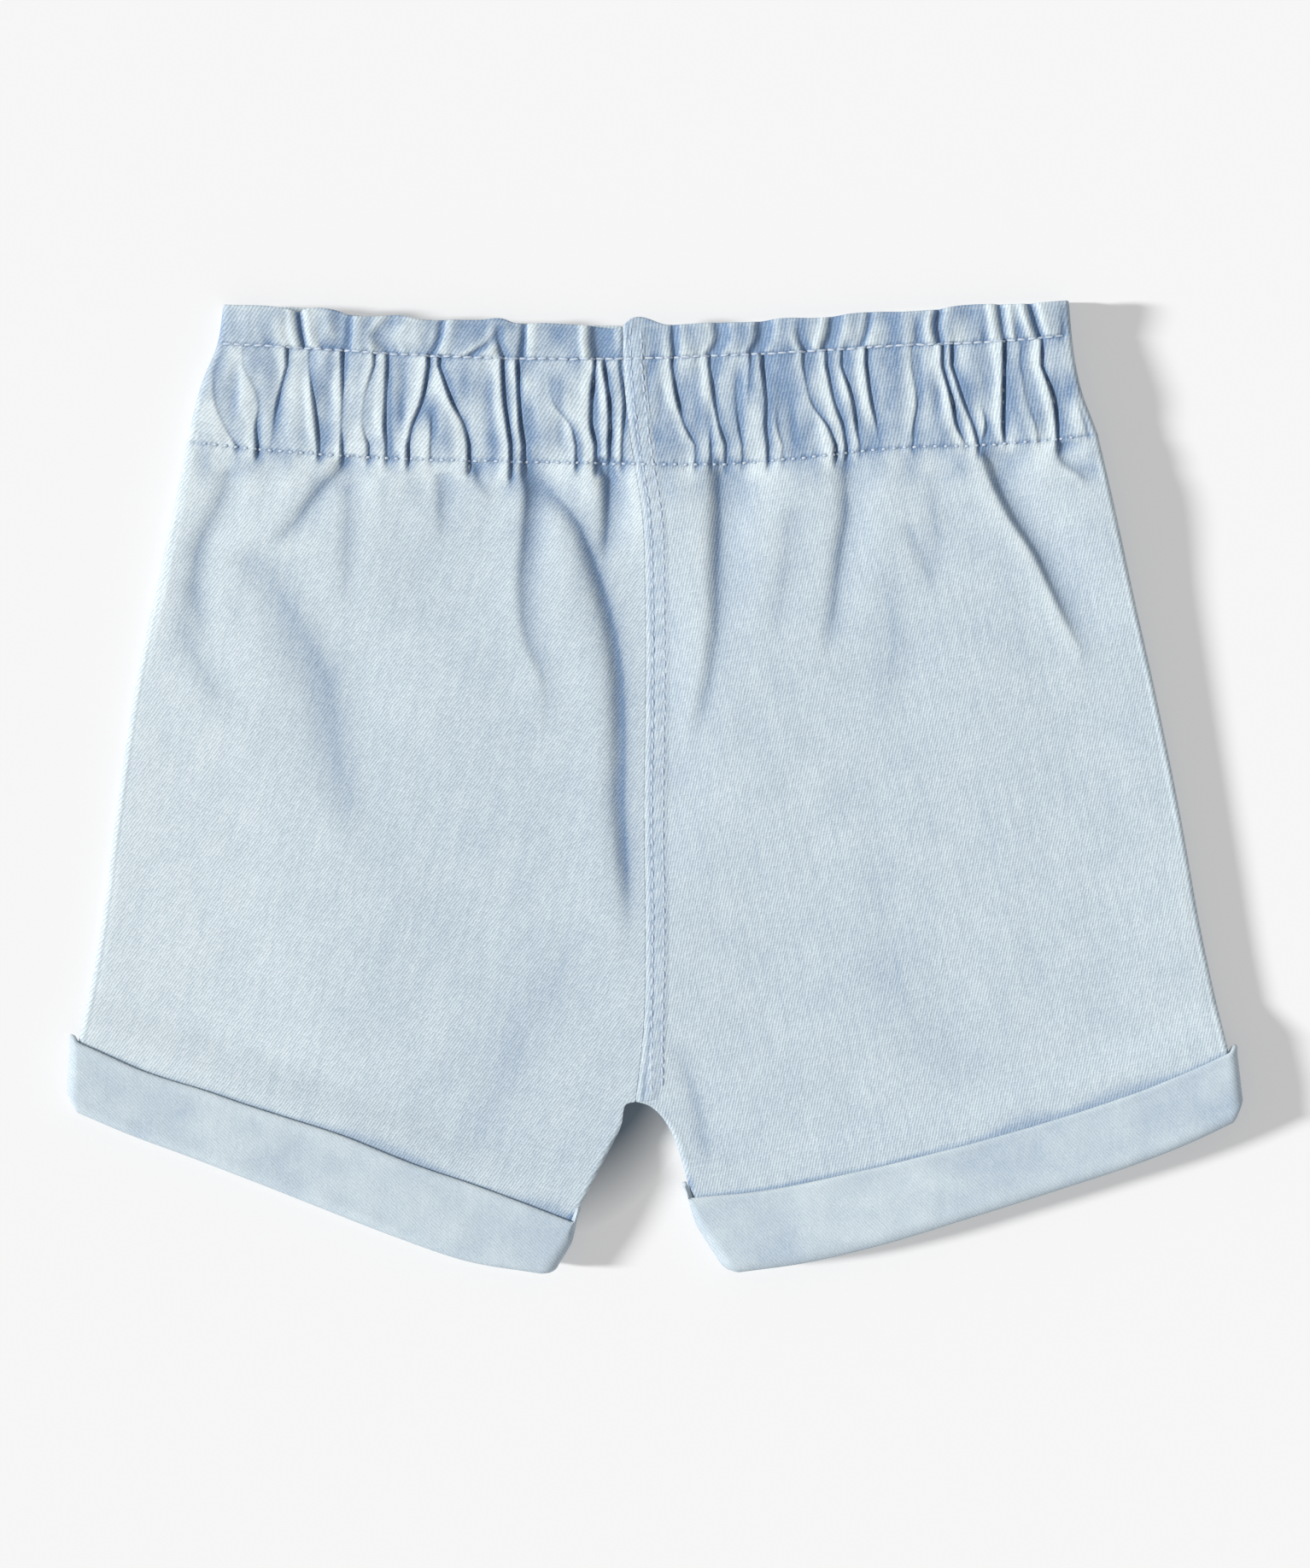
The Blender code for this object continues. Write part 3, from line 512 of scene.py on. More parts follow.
def along(points, shares):
    """Points at these shares of the length of a smooth curve through the given points."""
    points = np.asarray(points, float)
    chords = np.linalg.norm(np.diff(points, axis=0), axis=1)
    knots = np.concatenate([[0.0], np.cumsum(chords)])
    return hermite(knots, points, np.asarray(shares) * knots[-1])


def ease(x, low, high):
    """A smooth step from 0 at low to 1 at high. Low may be the larger."""
    t = np.clip((x - low) / (high - low), 0.0, 1.0)
    return t * t * (3 - 2 * t)


def waist_lines(x):
    """y of the frill's edge and of the upper and the lower stitch line at each x."""
    return (read(WAIST_LINES, name, x) for name in ("edge", "upper", "lower"))


def level(x, in_frill, in_casing):
    """y at these shares of the way down the frill and down the casing."""
    edge, upper, lower = waist_lines(x)
    return edge + (upper - edge) * in_frill + (lower - upper) * in_casing


def waist_x(name, in_frill, in_casing):
    """x of a side or of the centre seam on that line."""
    return read(OUTLINE, name, level(getattr(OUTLINE[-1], name), in_frill, in_casing))


def cuff_line(name, x):
    """y of the cuffs' top or of their fold at each x."""
    rows = [row for side in SIDES for row in CUFF_LINES[side]]
    line = sorted((getattr(row, f"x_{name}"), getattr(row, f"y_{name}")) for row in rows)
    return np.interp(x, *zip(*line))


def length(points):
    return np.linalg.norm(np.diff(points, axis=0), axis=1).sum()


def uneven(count):
    """Shares from 0 to 1 whose spacing grows."""
    t = np.linspace(0.0, 1.0, count + 1)
    return EVENNESS * t + (1 - EVENNESS) * t**2


def crumple(x, y, size, seed):
    """Smooth, random ups and downs between -1 and 1, about this far apart."""
    count = 64
    lattice = np.random.default_rng(seed).uniform(-1.0, 1.0, (count, count))
    u, v = x / size + count, y / size + count
    i, j = np.floor(u).astype(int), np.floor(v).astype(int)
    s, t = u - i, v - j
    s, t = s * s * (3 - 2 * s), t * t * (3 - 2 * t)
    i, j, k, m = i % count, j % count, (i + 1) % count, (j + 1) % count
    near = lattice[i, j] * (1 - s) + lattice[k, j] * s
    far = lattice[i, m] * (1 - s) + lattice[k, m] * s
    return near * (1 - t) + far * t


def crumples(part, x, y):
    """The sum of a part's crumples."""
    waves = [wave for wave in CRUMPLES if wave.part == part]
    return sum(
        wave.rise * crumple(x * wave.along_x, y * wave.along_y, wave.size, wave.seed) for wave in waves
    )


def hump(at, rise, middle, width, power=2):
    """A rounded rise over the middle, this wide on each side."""
    return rise * np.exp(-(((at - middle) / width) ** power))


def lopsided(across, left, right, cusp=2.0):
    """1 at the bottom of a crease, falling away to each side over its own half-width."""
    return np.exp(-(np.abs(across) / np.where(across < 0, left, right)) ** cusp)


# Heights.


def base_heights(x, y):
    """The front's and the back's middle surfaces without relief, and how far into a cuff each place is."""
    above_fold = (y - cuff_line("fold", x)) * math.cos(CUFF_SLANT)
    clear_of_cuff = CUFF_HEIGHT + CLOTH + SEAM_GAP
    in_cuff = ease(above_fold, clear_of_cuff + CUFF_RISE, clear_of_cuff)
    front = FRONT_FLAT + (FRONT_IN_CUFF - FRONT_FLAT) * in_cuff
    loft = read(LOFT, "height", read(WAIST_LINES, "lower", x) - y)
    back = loft + (BACK_IN_CUFF - loft) * in_cuff
    return front, back, in_cuff


def roll_radius(x, y):
    front, back, _ = base_heights(x, y)
    return (back - front) / 2


def fold_relief(a, depth, rise):
    """A gather's profile at these distances to the right of its slit, and how blue its cloth has stayed."""
    strength, power = GATHER_SWELL
    swell = np.tanh(strength * np.maximum(depth, 0.0) ** power)
    ridge = lopsided(a + RIDGE_AWAY, *RIDGE_WIDTHS)
    hollow = ease(a, *HOLLOW_START) * np.exp(-np.maximum(a, 0.0) / HOLLOW_REACH)
    slit = lopsided(a, *SLIT_WIDTHS) * np.maximum(depth - SLIT_START, 0.0)
    relief = swell * (RIDGE_RISE * rise * ridge - HOLLOW_DEPTH * hollow - SLIT_DEPTH * rise**2 * slit)
    return relief, swell * (HOLLOW_BLUE * hollow + lopsided(a, *GATHER_BLUE_WIDTHS) - RIDGE_WHITE * ridge)


def fall(a, left, right, stay):
    """From 0 on the left to 1 in the crease at a = 0, then back to 0 beyond it."""
    left_share = left / (left + right)
    before = hump(np.maximum(-a, 0.0), left_share, 0.0, left, CREASE_CUSP)
    after = 1 - (1 - left_share) * np.exp(-np.maximum(a, 0.0) / right)
    return np.where(a < 0, before, after) * hump(np.maximum(a, 0.0), 1.0, 0.0, stay)


def gathers(x, y):
    """The relief and the blueness of the casing's gathers, of their ends on the legs and of the frill."""
    edge, upper, lower = waist_lines(x)
    below = np.maximum(lower - y, 0.0)
    in_casing, in_frill = ease(upper - y, *CASING_START), ease(y - upper, *FRILL_START)
    relief, blue = np.zeros_like(x), np.zeros_like(x)
    for number, gather in enumerate(GATHERS):
        line = hermite(GATHER_LEVELS, gather[3::-1], y)
        a = (x - line) / (1 + below / GATHER_SPREAD)
        near = (np.abs(a) < GATHER_REACH) & (in_casing > 0)
        run = GATHER_RUN[0] + GATHER_RUN[1] * gather.d_row
        depth = hermite(GATHER_LEVELS, gather[:3:-1], y[near]) * hump(below[near], 1.0, 0.0, run)
        rise = 1 + crumples("gather", y[near], number * 11.0)
        profile, stayed = fold_relief(a[near], depth, rise)
        relief[near] += in_casing[near] * profile
        blue[near] += in_casing[near] * stayed
    profile, stayed = small_gathers(x, (upper - y) / (upper - lower))
    relief += in_casing * profile
    blue += in_casing * stayed
    share = np.clip((edge - y) / (edge - upper), 0.0, 1.0)
    for fold in FRILL_FOLDS:
        a = x - hermite((0.0, 0.5, 1.0), fold[:3], share)
        depth = in_frill * (fold.edge + (fold.row - fold.edge) * share)
        proud = hump(a, *FRILL_BESIDE[0]) + hump(a - fold.stay, *FRILL_BESIDE[1])
        fallen = fall(a, fold.left, fold.right, fold.stay)
        relief += depth * (proud - fallen)
        blue += np.tanh(0.9 * depth) * (fallen - 1.6 * proud)
    return relief + FRILL_PUFF * in_frill * np.sin(math.pi * share) ** 0.7, blue


def small_gathers(x, share):
    """Slight folds between the gathers, each over part of the casing's height."""
    relief, blue = np.zeros_like(x), np.zeros_like(x)
    drawn = np.random.default_rng(SMALL_SEED)
    shifts = drawn.uniform(-SMALL_WANDER, SMALL_WANDER, SMALL_GATHERS)
    places = np.linspace(*SMALL_SPAN, SMALL_GATHERS) + shifts
    for place, lean, depth, low, high in zip(places, *drawn.uniform(0.0, 1.0, (4, SMALL_GATHERS))):
        depth = SMALL_DEPTHS[0] + (SMALL_DEPTHS[1] - SMALL_DEPTHS[0]) * depth
        a = x - place - (lean - 0.4) * SMALL_LEAN * (0.5 - share)
        near = np.abs(a) < SMALL_REACH
        ends = ease(share[near], 0.5 * low - 0.2, 0.5 * low + 0.1)
        ends *= ease(share[near], 1.25 - 0.45 * high, 0.9 - 0.45 * high)
        pucker = depth * ends * lopsided(a[near], *SMALL_WIDTHS)
        relief[near] -= SMALL_SHARE * pucker
        blue[near] += SMALL_SHARE * pucker
    return relief, blue


def creases(x, y):
    """The relief of the legs' creases, which fall to the right and come back slowly, and their blue: stayed
    indigo, partly painted shade.
    """
    relief, blue = np.zeros_like(x), np.zeros_like(x)
    for crease in CREASES:
        xs, ys = np.array(crease.path[::-1]).T
        line = hermite(ys, xs, y)
        slope = (hermite(ys, xs, y + 0.5) - hermite(ys, xs, y - 0.5)) * ((y > ys[0]) & (y < ys[-1]))
        a = (x - line) / np.sqrt(1 + slope**2)
        share = (ys[-1] - y) / (ys[-1] - ys[0])
        fade = ease(share, *CREASE_ENDS[0]) * ease(share, *CREASE_ENDS[1])
        depth = hermite((0.0, 0.5, 1.0), (crease.top, crease.middle, crease.end), share) * fade
        fallen = fall(a, crease.left, crease.right, crease.stay)
        swell = lopsided(a + crease.left * 1.1 + 1.0, crease.left * 1.6 + 4.5, crease.left * 0.7 + 0.9)
        relief += CREASE_RISE * fade * crease.proud * swell - depth * fallen
        widths = (0.8 + 0.8 * crease.left, 0.6 + 0.8 * crease.right)
        # blue that stayed in the crease, deepened to stand in for its shade: part wear, part painted shade
        blue += np.tanh(0.6 * depth) * lopsided(a, *widths, CREASE_CUSP)
    return relief, blue


def row_relief(x, y):
    """The grooves of the two waist rows, drawn in a little more at each stitch."""
    relief = np.zeros_like(x)
    for name in ("upper", "lower"):
        away = y - read(WAIST_LINES, name, x)
        wave = np.cos(2 * math.pi * x / STITCH_PITCH) + crumples(f"{name} row", x, y)
        relief -= hump(away, *ROW_GROOVE) + hump(away, *ROW_PUCKER) * wave
    return relief


def crumple_relief(x, y):
    """The unevenness of washed cloth: broad and slight on the legs, finer on the elastic."""
    below = read(WAIST_LINES, "lower", x) - y
    on_leg = ease(below, -1.0, 6.0)
    under_row = crumples("under the lower row", x, y) + UNDER_ROW_PUFF * ease(below, 9.0, 3.0)
    legs = crumples("leg", x, y) + under_row * ease(below, 24.0, 2.0)
    return on_leg * legs + (1 - on_leg) * crumples("casing", x, y)


def back_relief(x, y):
    """How far the back stands proud, kept clear of the front, and how blue its gathers and creases are, the
    creases' blue partly painted shade.
    """
    front, back, in_cuff = base_heights(x, y)
    room = np.maximum(back - front - CLOTH - LEAST_GAP, 0.05)
    (gathered, gather_blue), (creased, crease_blue_and_shade) = gathers(x, y), creases(x, y)
    relief = gathered + (creased + crumple_relief(x, y)) * (1 - in_cuff) + row_relief(x, y)
    return np.where(relief < 0, -room * np.tanh(-relief / room), relief), gather_blue, crease_blue_and_shade


def front_relief(x, y):
    """Shallow gathers and rows on the face that the shorts lie on, which stays flat between them."""
    mirrored = gathers(-x * FRONT_SPREAD + FRONT_SHIFT, y)[0]
    depth = np.clip(-mirrored, 0.0, None) + np.clip(-row_relief(x, y), 0.0, None)
    return -FRONT_DEPTH * np.tanh(depth / FRONT_FLATNESS)


def rolled(x, y, height, from_edge, amount, face):
    """Heights with the cloth turned towards the seam at an edge, fully where the amount is 1."""
    front, back, _ = base_heights(x, y)
    rim = SEAM_GAP / 2 + CLOTH / 2 * (1 - amount)
    seam = (front + back) / 2 + (1 if face == "back" else -1) * rim
    t = np.clip(from_edge / roll_radius(x, y), 0.0, 1.0)
    turned = seam + (height - seam) * (1 - (1 - t) ** SIDE_SQUARENESS) ** (1 / SIDE_SQUARENESS)
    return height + (turned - height) * amount


# Sheets: grids of middle points and of their upward normals, as arrays of rows by columns by x, y, z.


def sheet(x, y, from_side, from_inner, inner_amount, face):
    """A face's middle surface with its edges rolled, and its normals."""
    height = base_heights(x, y)[1 if face == "back" else 0]
    height = rolled(x, y, height, from_side, np.ones_like(x), face)
    height = rolled(x, y, height, from_inner, inner_amount, face)
    points = np.stack([x, y, height], axis=-1)
    down, right = np.gradient(points, axis=0), np.gradient(points, axis=1)
    normals = np.cross(right, down)
    normals *= np.sign(normals[..., 2:])
    normals /= np.linalg.norm(normals, axis=-1, keepdims=True)
    normals[:, 0, 2] *= 1 - inner_amount[:, 0]
    normals[:, -1, 2] = 0.0
    normals /= np.linalg.norm(normals, axis=-1, keepdims=True)
    return points, normals


def leg_edges(side):
    """Points on a leg's side, on its half of the centre seam and on its inseam, mid-cloth."""
    sign = SIDES[side]
    corners = np.array([waist_x(name, 1.0, 1.0) for name in (side, "seam")])
    tops = level(corners, 1.0, 1.0) - SEAM_GAP / 2
    low = [row for row in OUTLINE[::-1] if row.y < min(tops) - CASING_CLEARANCE]
    outer = [(corners[0], tops[0]), *((getattr(row, side), row.y) for row in low), *LEG_SIDE_IN_CUFF[side]]
    seam = [(corners[1], tops[1]), *((row.seam, row.y) for row in low), CROTCH]
    outer = np.array(outer) - (sign * CLOTH / 2, 0.0)
    seam = np.array(seam) + (sign * SEAM_GAP / 2, 0.0)
    inseam = np.array(INSEAM[side]) + (sign * CLOTH / 2, 0.0)
    return outer, seam, np.array([seam[-1], *inseam])


def roll_shares():
    """Shares of the roll's radius, close together at the edge."""
    return 1 - np.cos(np.linspace(0.0, math.pi / 2, ROLL_COLUMNS + 1))


def leg_plan(side, face):
    """x and y over a leg panel, and the distances from its side and from its inner edge."""
    outer, seam, inseam = leg_edges(side)
    above, below = LEG_ROWS[face]
    down_seam, down_inseam = uneven(above), uneven(below)[1:]
    at_crotch = length(seam) / (length(seam) + length(inseam))
    rows = np.concatenate([down_seam * at_crotch, at_crotch + down_inseam * (1 - at_crotch)])
    inner = np.concatenate([along(seam, down_seam), along(inseam, down_inseam)])
    side_line = along(outer, rows)
    roll_share = ease(rows, at_crotch, at_crotch + CROTCH_SPREAD)[:, None]
    across = np.linalg.norm(side_line - inner, axis=1)[:, None]
    seam_columns = LAP_WIDTH * np.linspace(0.0, 1.0, LAP_COLUMNS + 1)
    inner_roll = np.interp(seam_columns, seam_columns[[0, -1]], (0.0, 1.0))
    inner_roll = (1 - np.cos(inner_roll * math.pi / 2)) * roll_radius(*inner.T)[:, None]
    first = seam_columns + (inner_roll - seam_columns) * roll_share
    last = across - roll_shares()[::-1] * roll_radius(*side_line.T)[:, None]
    inside = np.linspace(0.0, 1.0, LEG_COLUMNS[face] + 1)[1:-1]
    middle = first[:, -1:] + (last[:, :1] - first[:, -1:]) * inside
    distance = np.concatenate([first, middle, last], axis=1)
    u = (distance / across)[..., None]
    v = np.broadcast_to(rows[:, None, None], u.shape)
    top_x = inner[0, 0] + (side_line[0, 0] - inner[0, 0]) * u[..., 0]
    top = np.stack([top_x, level(top_x, 1.0, 1.0) - SEAM_GAP / 2], axis=-1)
    fold = np.array([(row.x_fold, row.y_fold) for row in CUFF_LINES[side]])[::-1]
    bottom = along(fold, u[..., 0]) + (1 - u) * (inner[-1] - fold[0]) + u * (side_line[-1] - fold[-1])
    corner_top = (1 - u) * inner[0] + u * side_line[0]
    corner_bottom = (1 - u) * inner[-1] + u * side_line[-1]
    corners = (1 - v) * corner_top + v * corner_bottom
    plan = (1 - v) * top + v * bottom + (1 - u) * inner[:, None] + u * side_line[:, None] - corners
    amount = np.broadcast_to(roll_share, distance.shape)
    return plan[..., 0], plan[..., 1], across - distance, distance, amount


def casing_plan(side, face):
    """x and y over the frill and the casing, down to the leg panel."""
    sign = SIDES[side]
    frill_rows, casing_rows = CASING_ROWS[face]
    stations = [(f, 0.0) for f in np.linspace(0.0, 1.0, frill_rows + 1)[:-1]]
    stations += [(1.0, f) for f in np.linspace(0.0, 1.0, casing_rows + 1)]
    rows = []
    for in_frill, in_casing in stations:
        outer = waist_x(side, in_frill, in_casing) - sign * CLOTH / 2
        inner = waist_x("seam", in_frill, in_casing) + sign * SEAM_GAP / 2
        roll = sign * roll_shares()[::-1] * roll_radius(outer, level(outer, in_frill, in_casing))
        x = np.linspace(inner, outer - roll[0], CASING_COLUMNS[face] + 1)
        x = np.concatenate([x[:-1], outer - roll])
        y = level(x, in_frill, in_casing) - SEAM_GAP / 2 * ease(in_casing, 0.0, 1.0)
        rise = read(EDGE_WAVES, "rise", x) if face == "back" else hump(x, *FRONT_EDGE_RISE)
        y += rise * (1 - in_frill)
        rows.append((x, y, abs(outer - x)))
    x, y, from_side = np.array(rows).transpose(1, 0, 2)
    return x, y, from_side, abs(x - x[:, :1]), np.zeros_like(x)


# Cloth and wear.


def lay_out(points, side, even):
    """Where each point lies on the cloth before it was cut, which the weave follows."""
    steps = np.diff(points, axis=1)
    flat = np.linalg.norm(steps[..., :2], axis=-1)
    stretch = np.linalg.norm(steps, axis=-1) / np.maximum(flat, 1e-6)
    if even:
        total = (stretch * flat).sum(axis=1, keepdims=True)
        stretch = stretch * total.mean() / total
    steps = steps[..., :2] * stretch[..., None]
    run = np.concatenate([np.zeros_like(steps[:, :1]), np.cumsum(steps, axis=1)], axis=1)
    middle = points.shape[1] // 2
    laid = points[:, middle : middle + 1, :2] + run - run[:, middle : middle + 1]
    if even:
        laid = laid * GATHERED_WEAVE
    turn = GRAIN_TURN[side]
    u = laid[..., 0] * math.cos(turn) - laid[..., 1] * math.sin(turn)
    v = laid[..., 0] * math.sin(turn) + laid[..., 1] * math.cos(turn)
    return np.stack([u, v, np.zeros_like(u)], axis=-1)


def blurred(values, reach):
    """The average over this many cells each way."""
    span = 2 * reach + 1
    for axis in (0, 1):
        margins = [(0, 0), (0, 0)]
        margins[axis] = (reach, reach + 1)
        sums = np.cumsum(np.pad(values, margins, mode="edge"), axis)
        count = values.shape[axis]
        high = np.take(sums, range(span, span + count), axis)
        values = (high - np.take(sums, range(count), axis)) / span
    return values


def wear_of(relief, reach, strength):
    """How far the dye is rubbed off: 0.5 on flat cloth, more on ridges and less in the creases."""
    proud = relief - blurred(blurred(relief, reach), reach)
    return 0.5 + 0.5 * np.tanh(2 * strength * proud)


# Meshes.


def mesh_object(name, points, faces, finish, cloth, wear, sharp=()):
    """A piece with its place on the cloth and its wear and painted shade at each point, and with these edges
    sharp.
    """
    mesh = bpy.data.meshes.new(name)
    mesh.from_pydata((np.asarray(points) * MM).tolist(), [], faces)
    mesh.validate()
    mesh.shade_smooth()
    mesh.attributes.new("cloth", "FLOAT_VECTOR", "POINT").data.foreach_set("vector", np.ravel(cloth))
    mesh.attributes.new("wear", "FLOAT", "POINT").data.foreach_set("value", np.ravel(wear))
    if len(sharp):
        ends = np.empty(len(mesh.edges) * 2, dtype=np.int64)
        mesh.edges.foreach_get("vertices", ends)
        ends = np.sort(ends.reshape(-1, 2), axis=1)
        wanted = np.sort(np.asarray(sharp), axis=1)
        big = len(mesh.vertices)
        found = np.isin(ends[:, 0] * big + ends[:, 1], wanted[:, 0] * big + wanted[:, 1])
        mesh.attributes.new("sharp_edge", "BOOLEAN", "EDGE").data.foreach_set("value", found)
    mesh.materials.append(finish)
    obj = bpy.data.objects.new(name, mesh)
    bpy.context.scene.collection.objects.link(obj)
    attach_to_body(obj, "root")
    return obj


def inner_faces(used, rows, columns):
    """Faces over a coarser grid, which also take in the fine points on its border."""
    faces = []
    for top, bottom in zip(rows, rows[1:]):
        for left, right in zip(columns, columns[1:]):
            ring = [(top, j) for j in range(left, right + 1)]
            ring += [(i, right) for i in range(top + 1, bottom + 1)]
            ring += [(bottom, j) for j in range(right - 1, left - 1, -1)]
            ring += [(i, left) for i in range(bottom - 1, top, -1)]
            faces.append([used[at] for at in ring if used[at] >= 0][::-1])
    return faces


def shell(name, outer, inner, cloth, wear, bulge, finish):
    """A wall of cloth between two grids: a fine outside, a coarser inside and rounded rims."""
    rows, columns = outer.shape[:2]
    fine = np.arange(rows * columns).reshape(rows, columns)
    quads = np.stack([fine[:-1, :-1], fine[:-1, 1:], fine[1:, 1:], fine[1:, :-1]], axis=-1).reshape(-1, 4)
    kept_rows = [*range(0, rows - 1, INNER_SKIP), rows - 1]
    kept_columns = [*range(0, columns - 1, INNER_SKIP), columns - 1]
    used = np.zeros((rows, columns), bool)
    used[np.ix_(kept_rows, kept_columns)] = True
    used[[0, -1]] = True
    used[:, [0, -1]] = True
    coarse = np.full((rows, columns), -1)
    coarse[used] = rows * columns + np.arange(used.sum())
    faces = quads.tolist() + inner_faces(coarse, kept_rows, kept_columns)
    border = [(0, j) for j in range(columns - 1)] + [(i, columns - 1) for i in range(rows - 1)]
    border += [(rows - 1, j) for j in range(columns - 1, 0, -1)] + [(i, 0) for i in range(rows - 1, 0, -1)]
    at = tuple(np.array(border).T)
    out, amount = np.zeros_like(outer), np.zeros((rows, columns))
    for (line, beside), size in zip(((0, 1), (-1, -2)), bulge[:2]):
        out[line] += outer[line] - outer[beside]
        amount[line] = np.maximum(amount[line], size)
    for (line, beside), size in zip(((0, 1), (-1, -2)), bulge[2:]):
        out[:, line] += outer[:, line] - outer[:, beside]
        amount[1:-1, line] = size
        amount[[0, -1], line] = np.minimum(amount[[0, -1], line], size)
    middle, half = (outer + inner)[at] / 2, (outer - inner)[at] / 2
    thick = np.linalg.norm(half, axis=-1, keepdims=True)
    up = half / thick
    out = out[at] - (out[at] * up).sum(axis=-1, keepdims=True) * up
    out /= np.maximum(np.linalg.norm(out, axis=-1, keepdims=True), 1e-9)
    rings = [fine[at]]
    points = [outer.reshape(-1, 3), inner[used]]
    maps, wear_and_shade_lists = [cloth.reshape(-1, 3), cloth[used]], [wear.ravel(), np.full(used.sum(), 0.5)]
    start = rows * columns + int(used.sum())
    for step in range(1, RIM_STEPS):
        angle = math.pi * step / RIM_STEPS
        points.append(middle + half * math.cos(angle) + out * amount[at][:, None] * math.sin(angle))
        maps.append(cloth[at])
        wear_and_shade_lists.append(wear[at])
        rings.append(start + np.arange(len(border)))
        start += len(border)
    rings.append(coarse[at])
    for ring, following in zip(rings, rings[1:]):
        rim = np.stack([np.roll(ring, -1), ring, following, np.roll(following, -1)], axis=-1)
        faces += rim.tolist()
    i, j = rows // 2, columns // 2
    turned = np.cross(outer[i, j + 1] - outer[i, j], outer[i + 1, j] - outer[i, j])
    if turned @ (outer[i, j] - inner[i, j]) < 0:
        faces = [face[::-1] for face in faces]
    loop = np.stack([fine[at], np.roll(fine[at], -1)], axis=-1)
    sharp = loop[amount[at] < CLOTH / 3]
    return mesh_object(
        name, np.concatenate(points), faces, finish, np.concatenate(maps), np.concatenate(wear_and_shade_lists), sharp
    )


# Materials.


def attach(tree, value, socket):
    """Links or sets an input."""
    if isinstance(value, bpy.types.NodeSocket):
        tree.links.new(value, socket)
    else:
        socket.default_value = value


def node(tree, kind, inputs=(), **settings):
    """A node with its inputs, by name or number, linked or set."""
    made = tree.nodes.new(kind)
    for name, value in settings.items():
        setattr(made, name, value)
    for name, value in dict(inputs).items():
        attach(tree, value, made.inputs[name])
    return made


def maths(tree, operation, *values):
    return node(tree, "ShaderNodeMath", dict(enumerate(values)), operation=operation).outputs[0]


def from_half(tree, value):
    return maths(tree, "SUBTRACT", value, 0.5)


def noise(tree, vector, scale, detail):
    return node(tree, "ShaderNodeTexNoise", {"Vector": vector, "Scale": scale, "Detail": detail}).outputs[0]


def stretched(tree, vector, scale):
    """The vector scaled along each axis."""
    return node(tree, "ShaderNodeVectorMath", {0: vector, 1: scale}, operation="MULTIPLY").outputs[0]


def mixed(tree, share, first, second):
    """A colour between two, by a share of the second."""
    inputs = {"Factor": share, "A": first, "B": second}
    return node(tree, "ShaderNodeMix", inputs, data_type="RGBA").outputs["Result"]


def group(name, inputs, outputs):
    """An empty node group with named sockets. Each input is a name, a kind and a default."""
    tree = bpy.data.node_groups.new(name, "ShaderNodeTree")
    for socket, kind, default in inputs:
        made = tree.interface.new_socket(socket, in_out="INPUT", socket_type=f"NodeSocket{kind}")
        if default is not None:
            made.default_value = default
    for socket, kind in outputs:
        tree.interface.new_socket(socket, in_out="OUTPUT", socket_type=f"NodeSocket{kind}")
    given, result = tree.nodes.new("NodeGroupInput").outputs, tree.nodes.new("NodeGroupOutput").inputs
    return tree, given, result


def twill_group():
    """Slanting wales of short warp floats, and the thick and thin places of the yarns."""
    inputs = (
        ("Cloth", "Vector", None),
        ("Lean", "Float", 1.13),
        ("Pitch", "Float", 0.8),
        ("Unevenness", "Float", 0.3),
    )
    floats_per_mm, float_shift = 1.15, 0.37
    ridge_share, float_share, random_share = 0.40, 0.07, 0.30
    fine_yarn, broad_yarn = (2.6, 0.10, 1.0), (0.50, 0.022, 1.0)
    tree, given, result = group("Twill weave", inputs, (("Wale", "Float"), ("Yarn", "Float")))
    cloth = given["Cloth"]
    wander = maths(tree, "MULTIPLY", from_half(tree, noise(tree, cloth, 0.55, 2.0)), given["Unevenness"])
    inputs = {"Vector": cloth, "Angle": maths(tree, "MULTIPLY", given["Lean"], -1.0)}
    turned = node(tree, "ShaderNodeVectorRotate", inputs, rotation_type="Z_AXIS").outputs[0]
    parts = node(tree, "ShaderNodeSeparateXYZ", {0: turned}).outputs
    across = maths(tree, "DIVIDE", maths(tree, "ADD", parts["Y"], wander), given["Pitch"])
    ridge = maths(tree, "SINE", maths(tree, "MULTIPLY", across, 2 * math.pi))
    shift = maths(tree, "MULTIPLY", across, float_shift)
    pick = maths(tree, "ADD", maths(tree, "MULTIPLY", parts["X"], floats_per_mm), shift)
    float_end = maths(tree, "SINE", maths(tree, "MULTIPLY", pick, 2 * math.pi))
    wale = maths(tree, "MULTIPLY_ADD", ridge, ridge_share, 0.5)
    wale = maths(tree, "MULTIPLY_ADD", float_end, float_share, wale)
    inputs = {0: maths(tree, "FLOOR", across), 1: maths(tree, "FLOOR", pick)}
    cell = node(tree, "ShaderNodeCombineXYZ", inputs).outputs[0]
    each_float = node(tree, "ShaderNodeTexWhiteNoise", {"Vector": cell}, noise_dimensions="2D")
    wale = maths(tree, "MULTIPLY_ADD", each_float.outputs["Value"], random_share, wale)
    wale = maths(tree, "SUBTRACT", wale, random_share / 2)
    tree.links.new(wale, result["Wale"])
    fine = noise(tree, stretched(tree, cloth, fine_yarn), 1.0, 2.0)
    broad = maths(tree, "MULTIPLY", noise(tree, stretched(tree, cloth, broad_yarn), 1.0, 2.0), 0.4)
    tree.links.new(maths(tree, "MULTIPLY_ADD", fine, 0.6, broad), result["Yarn"])
    return tree


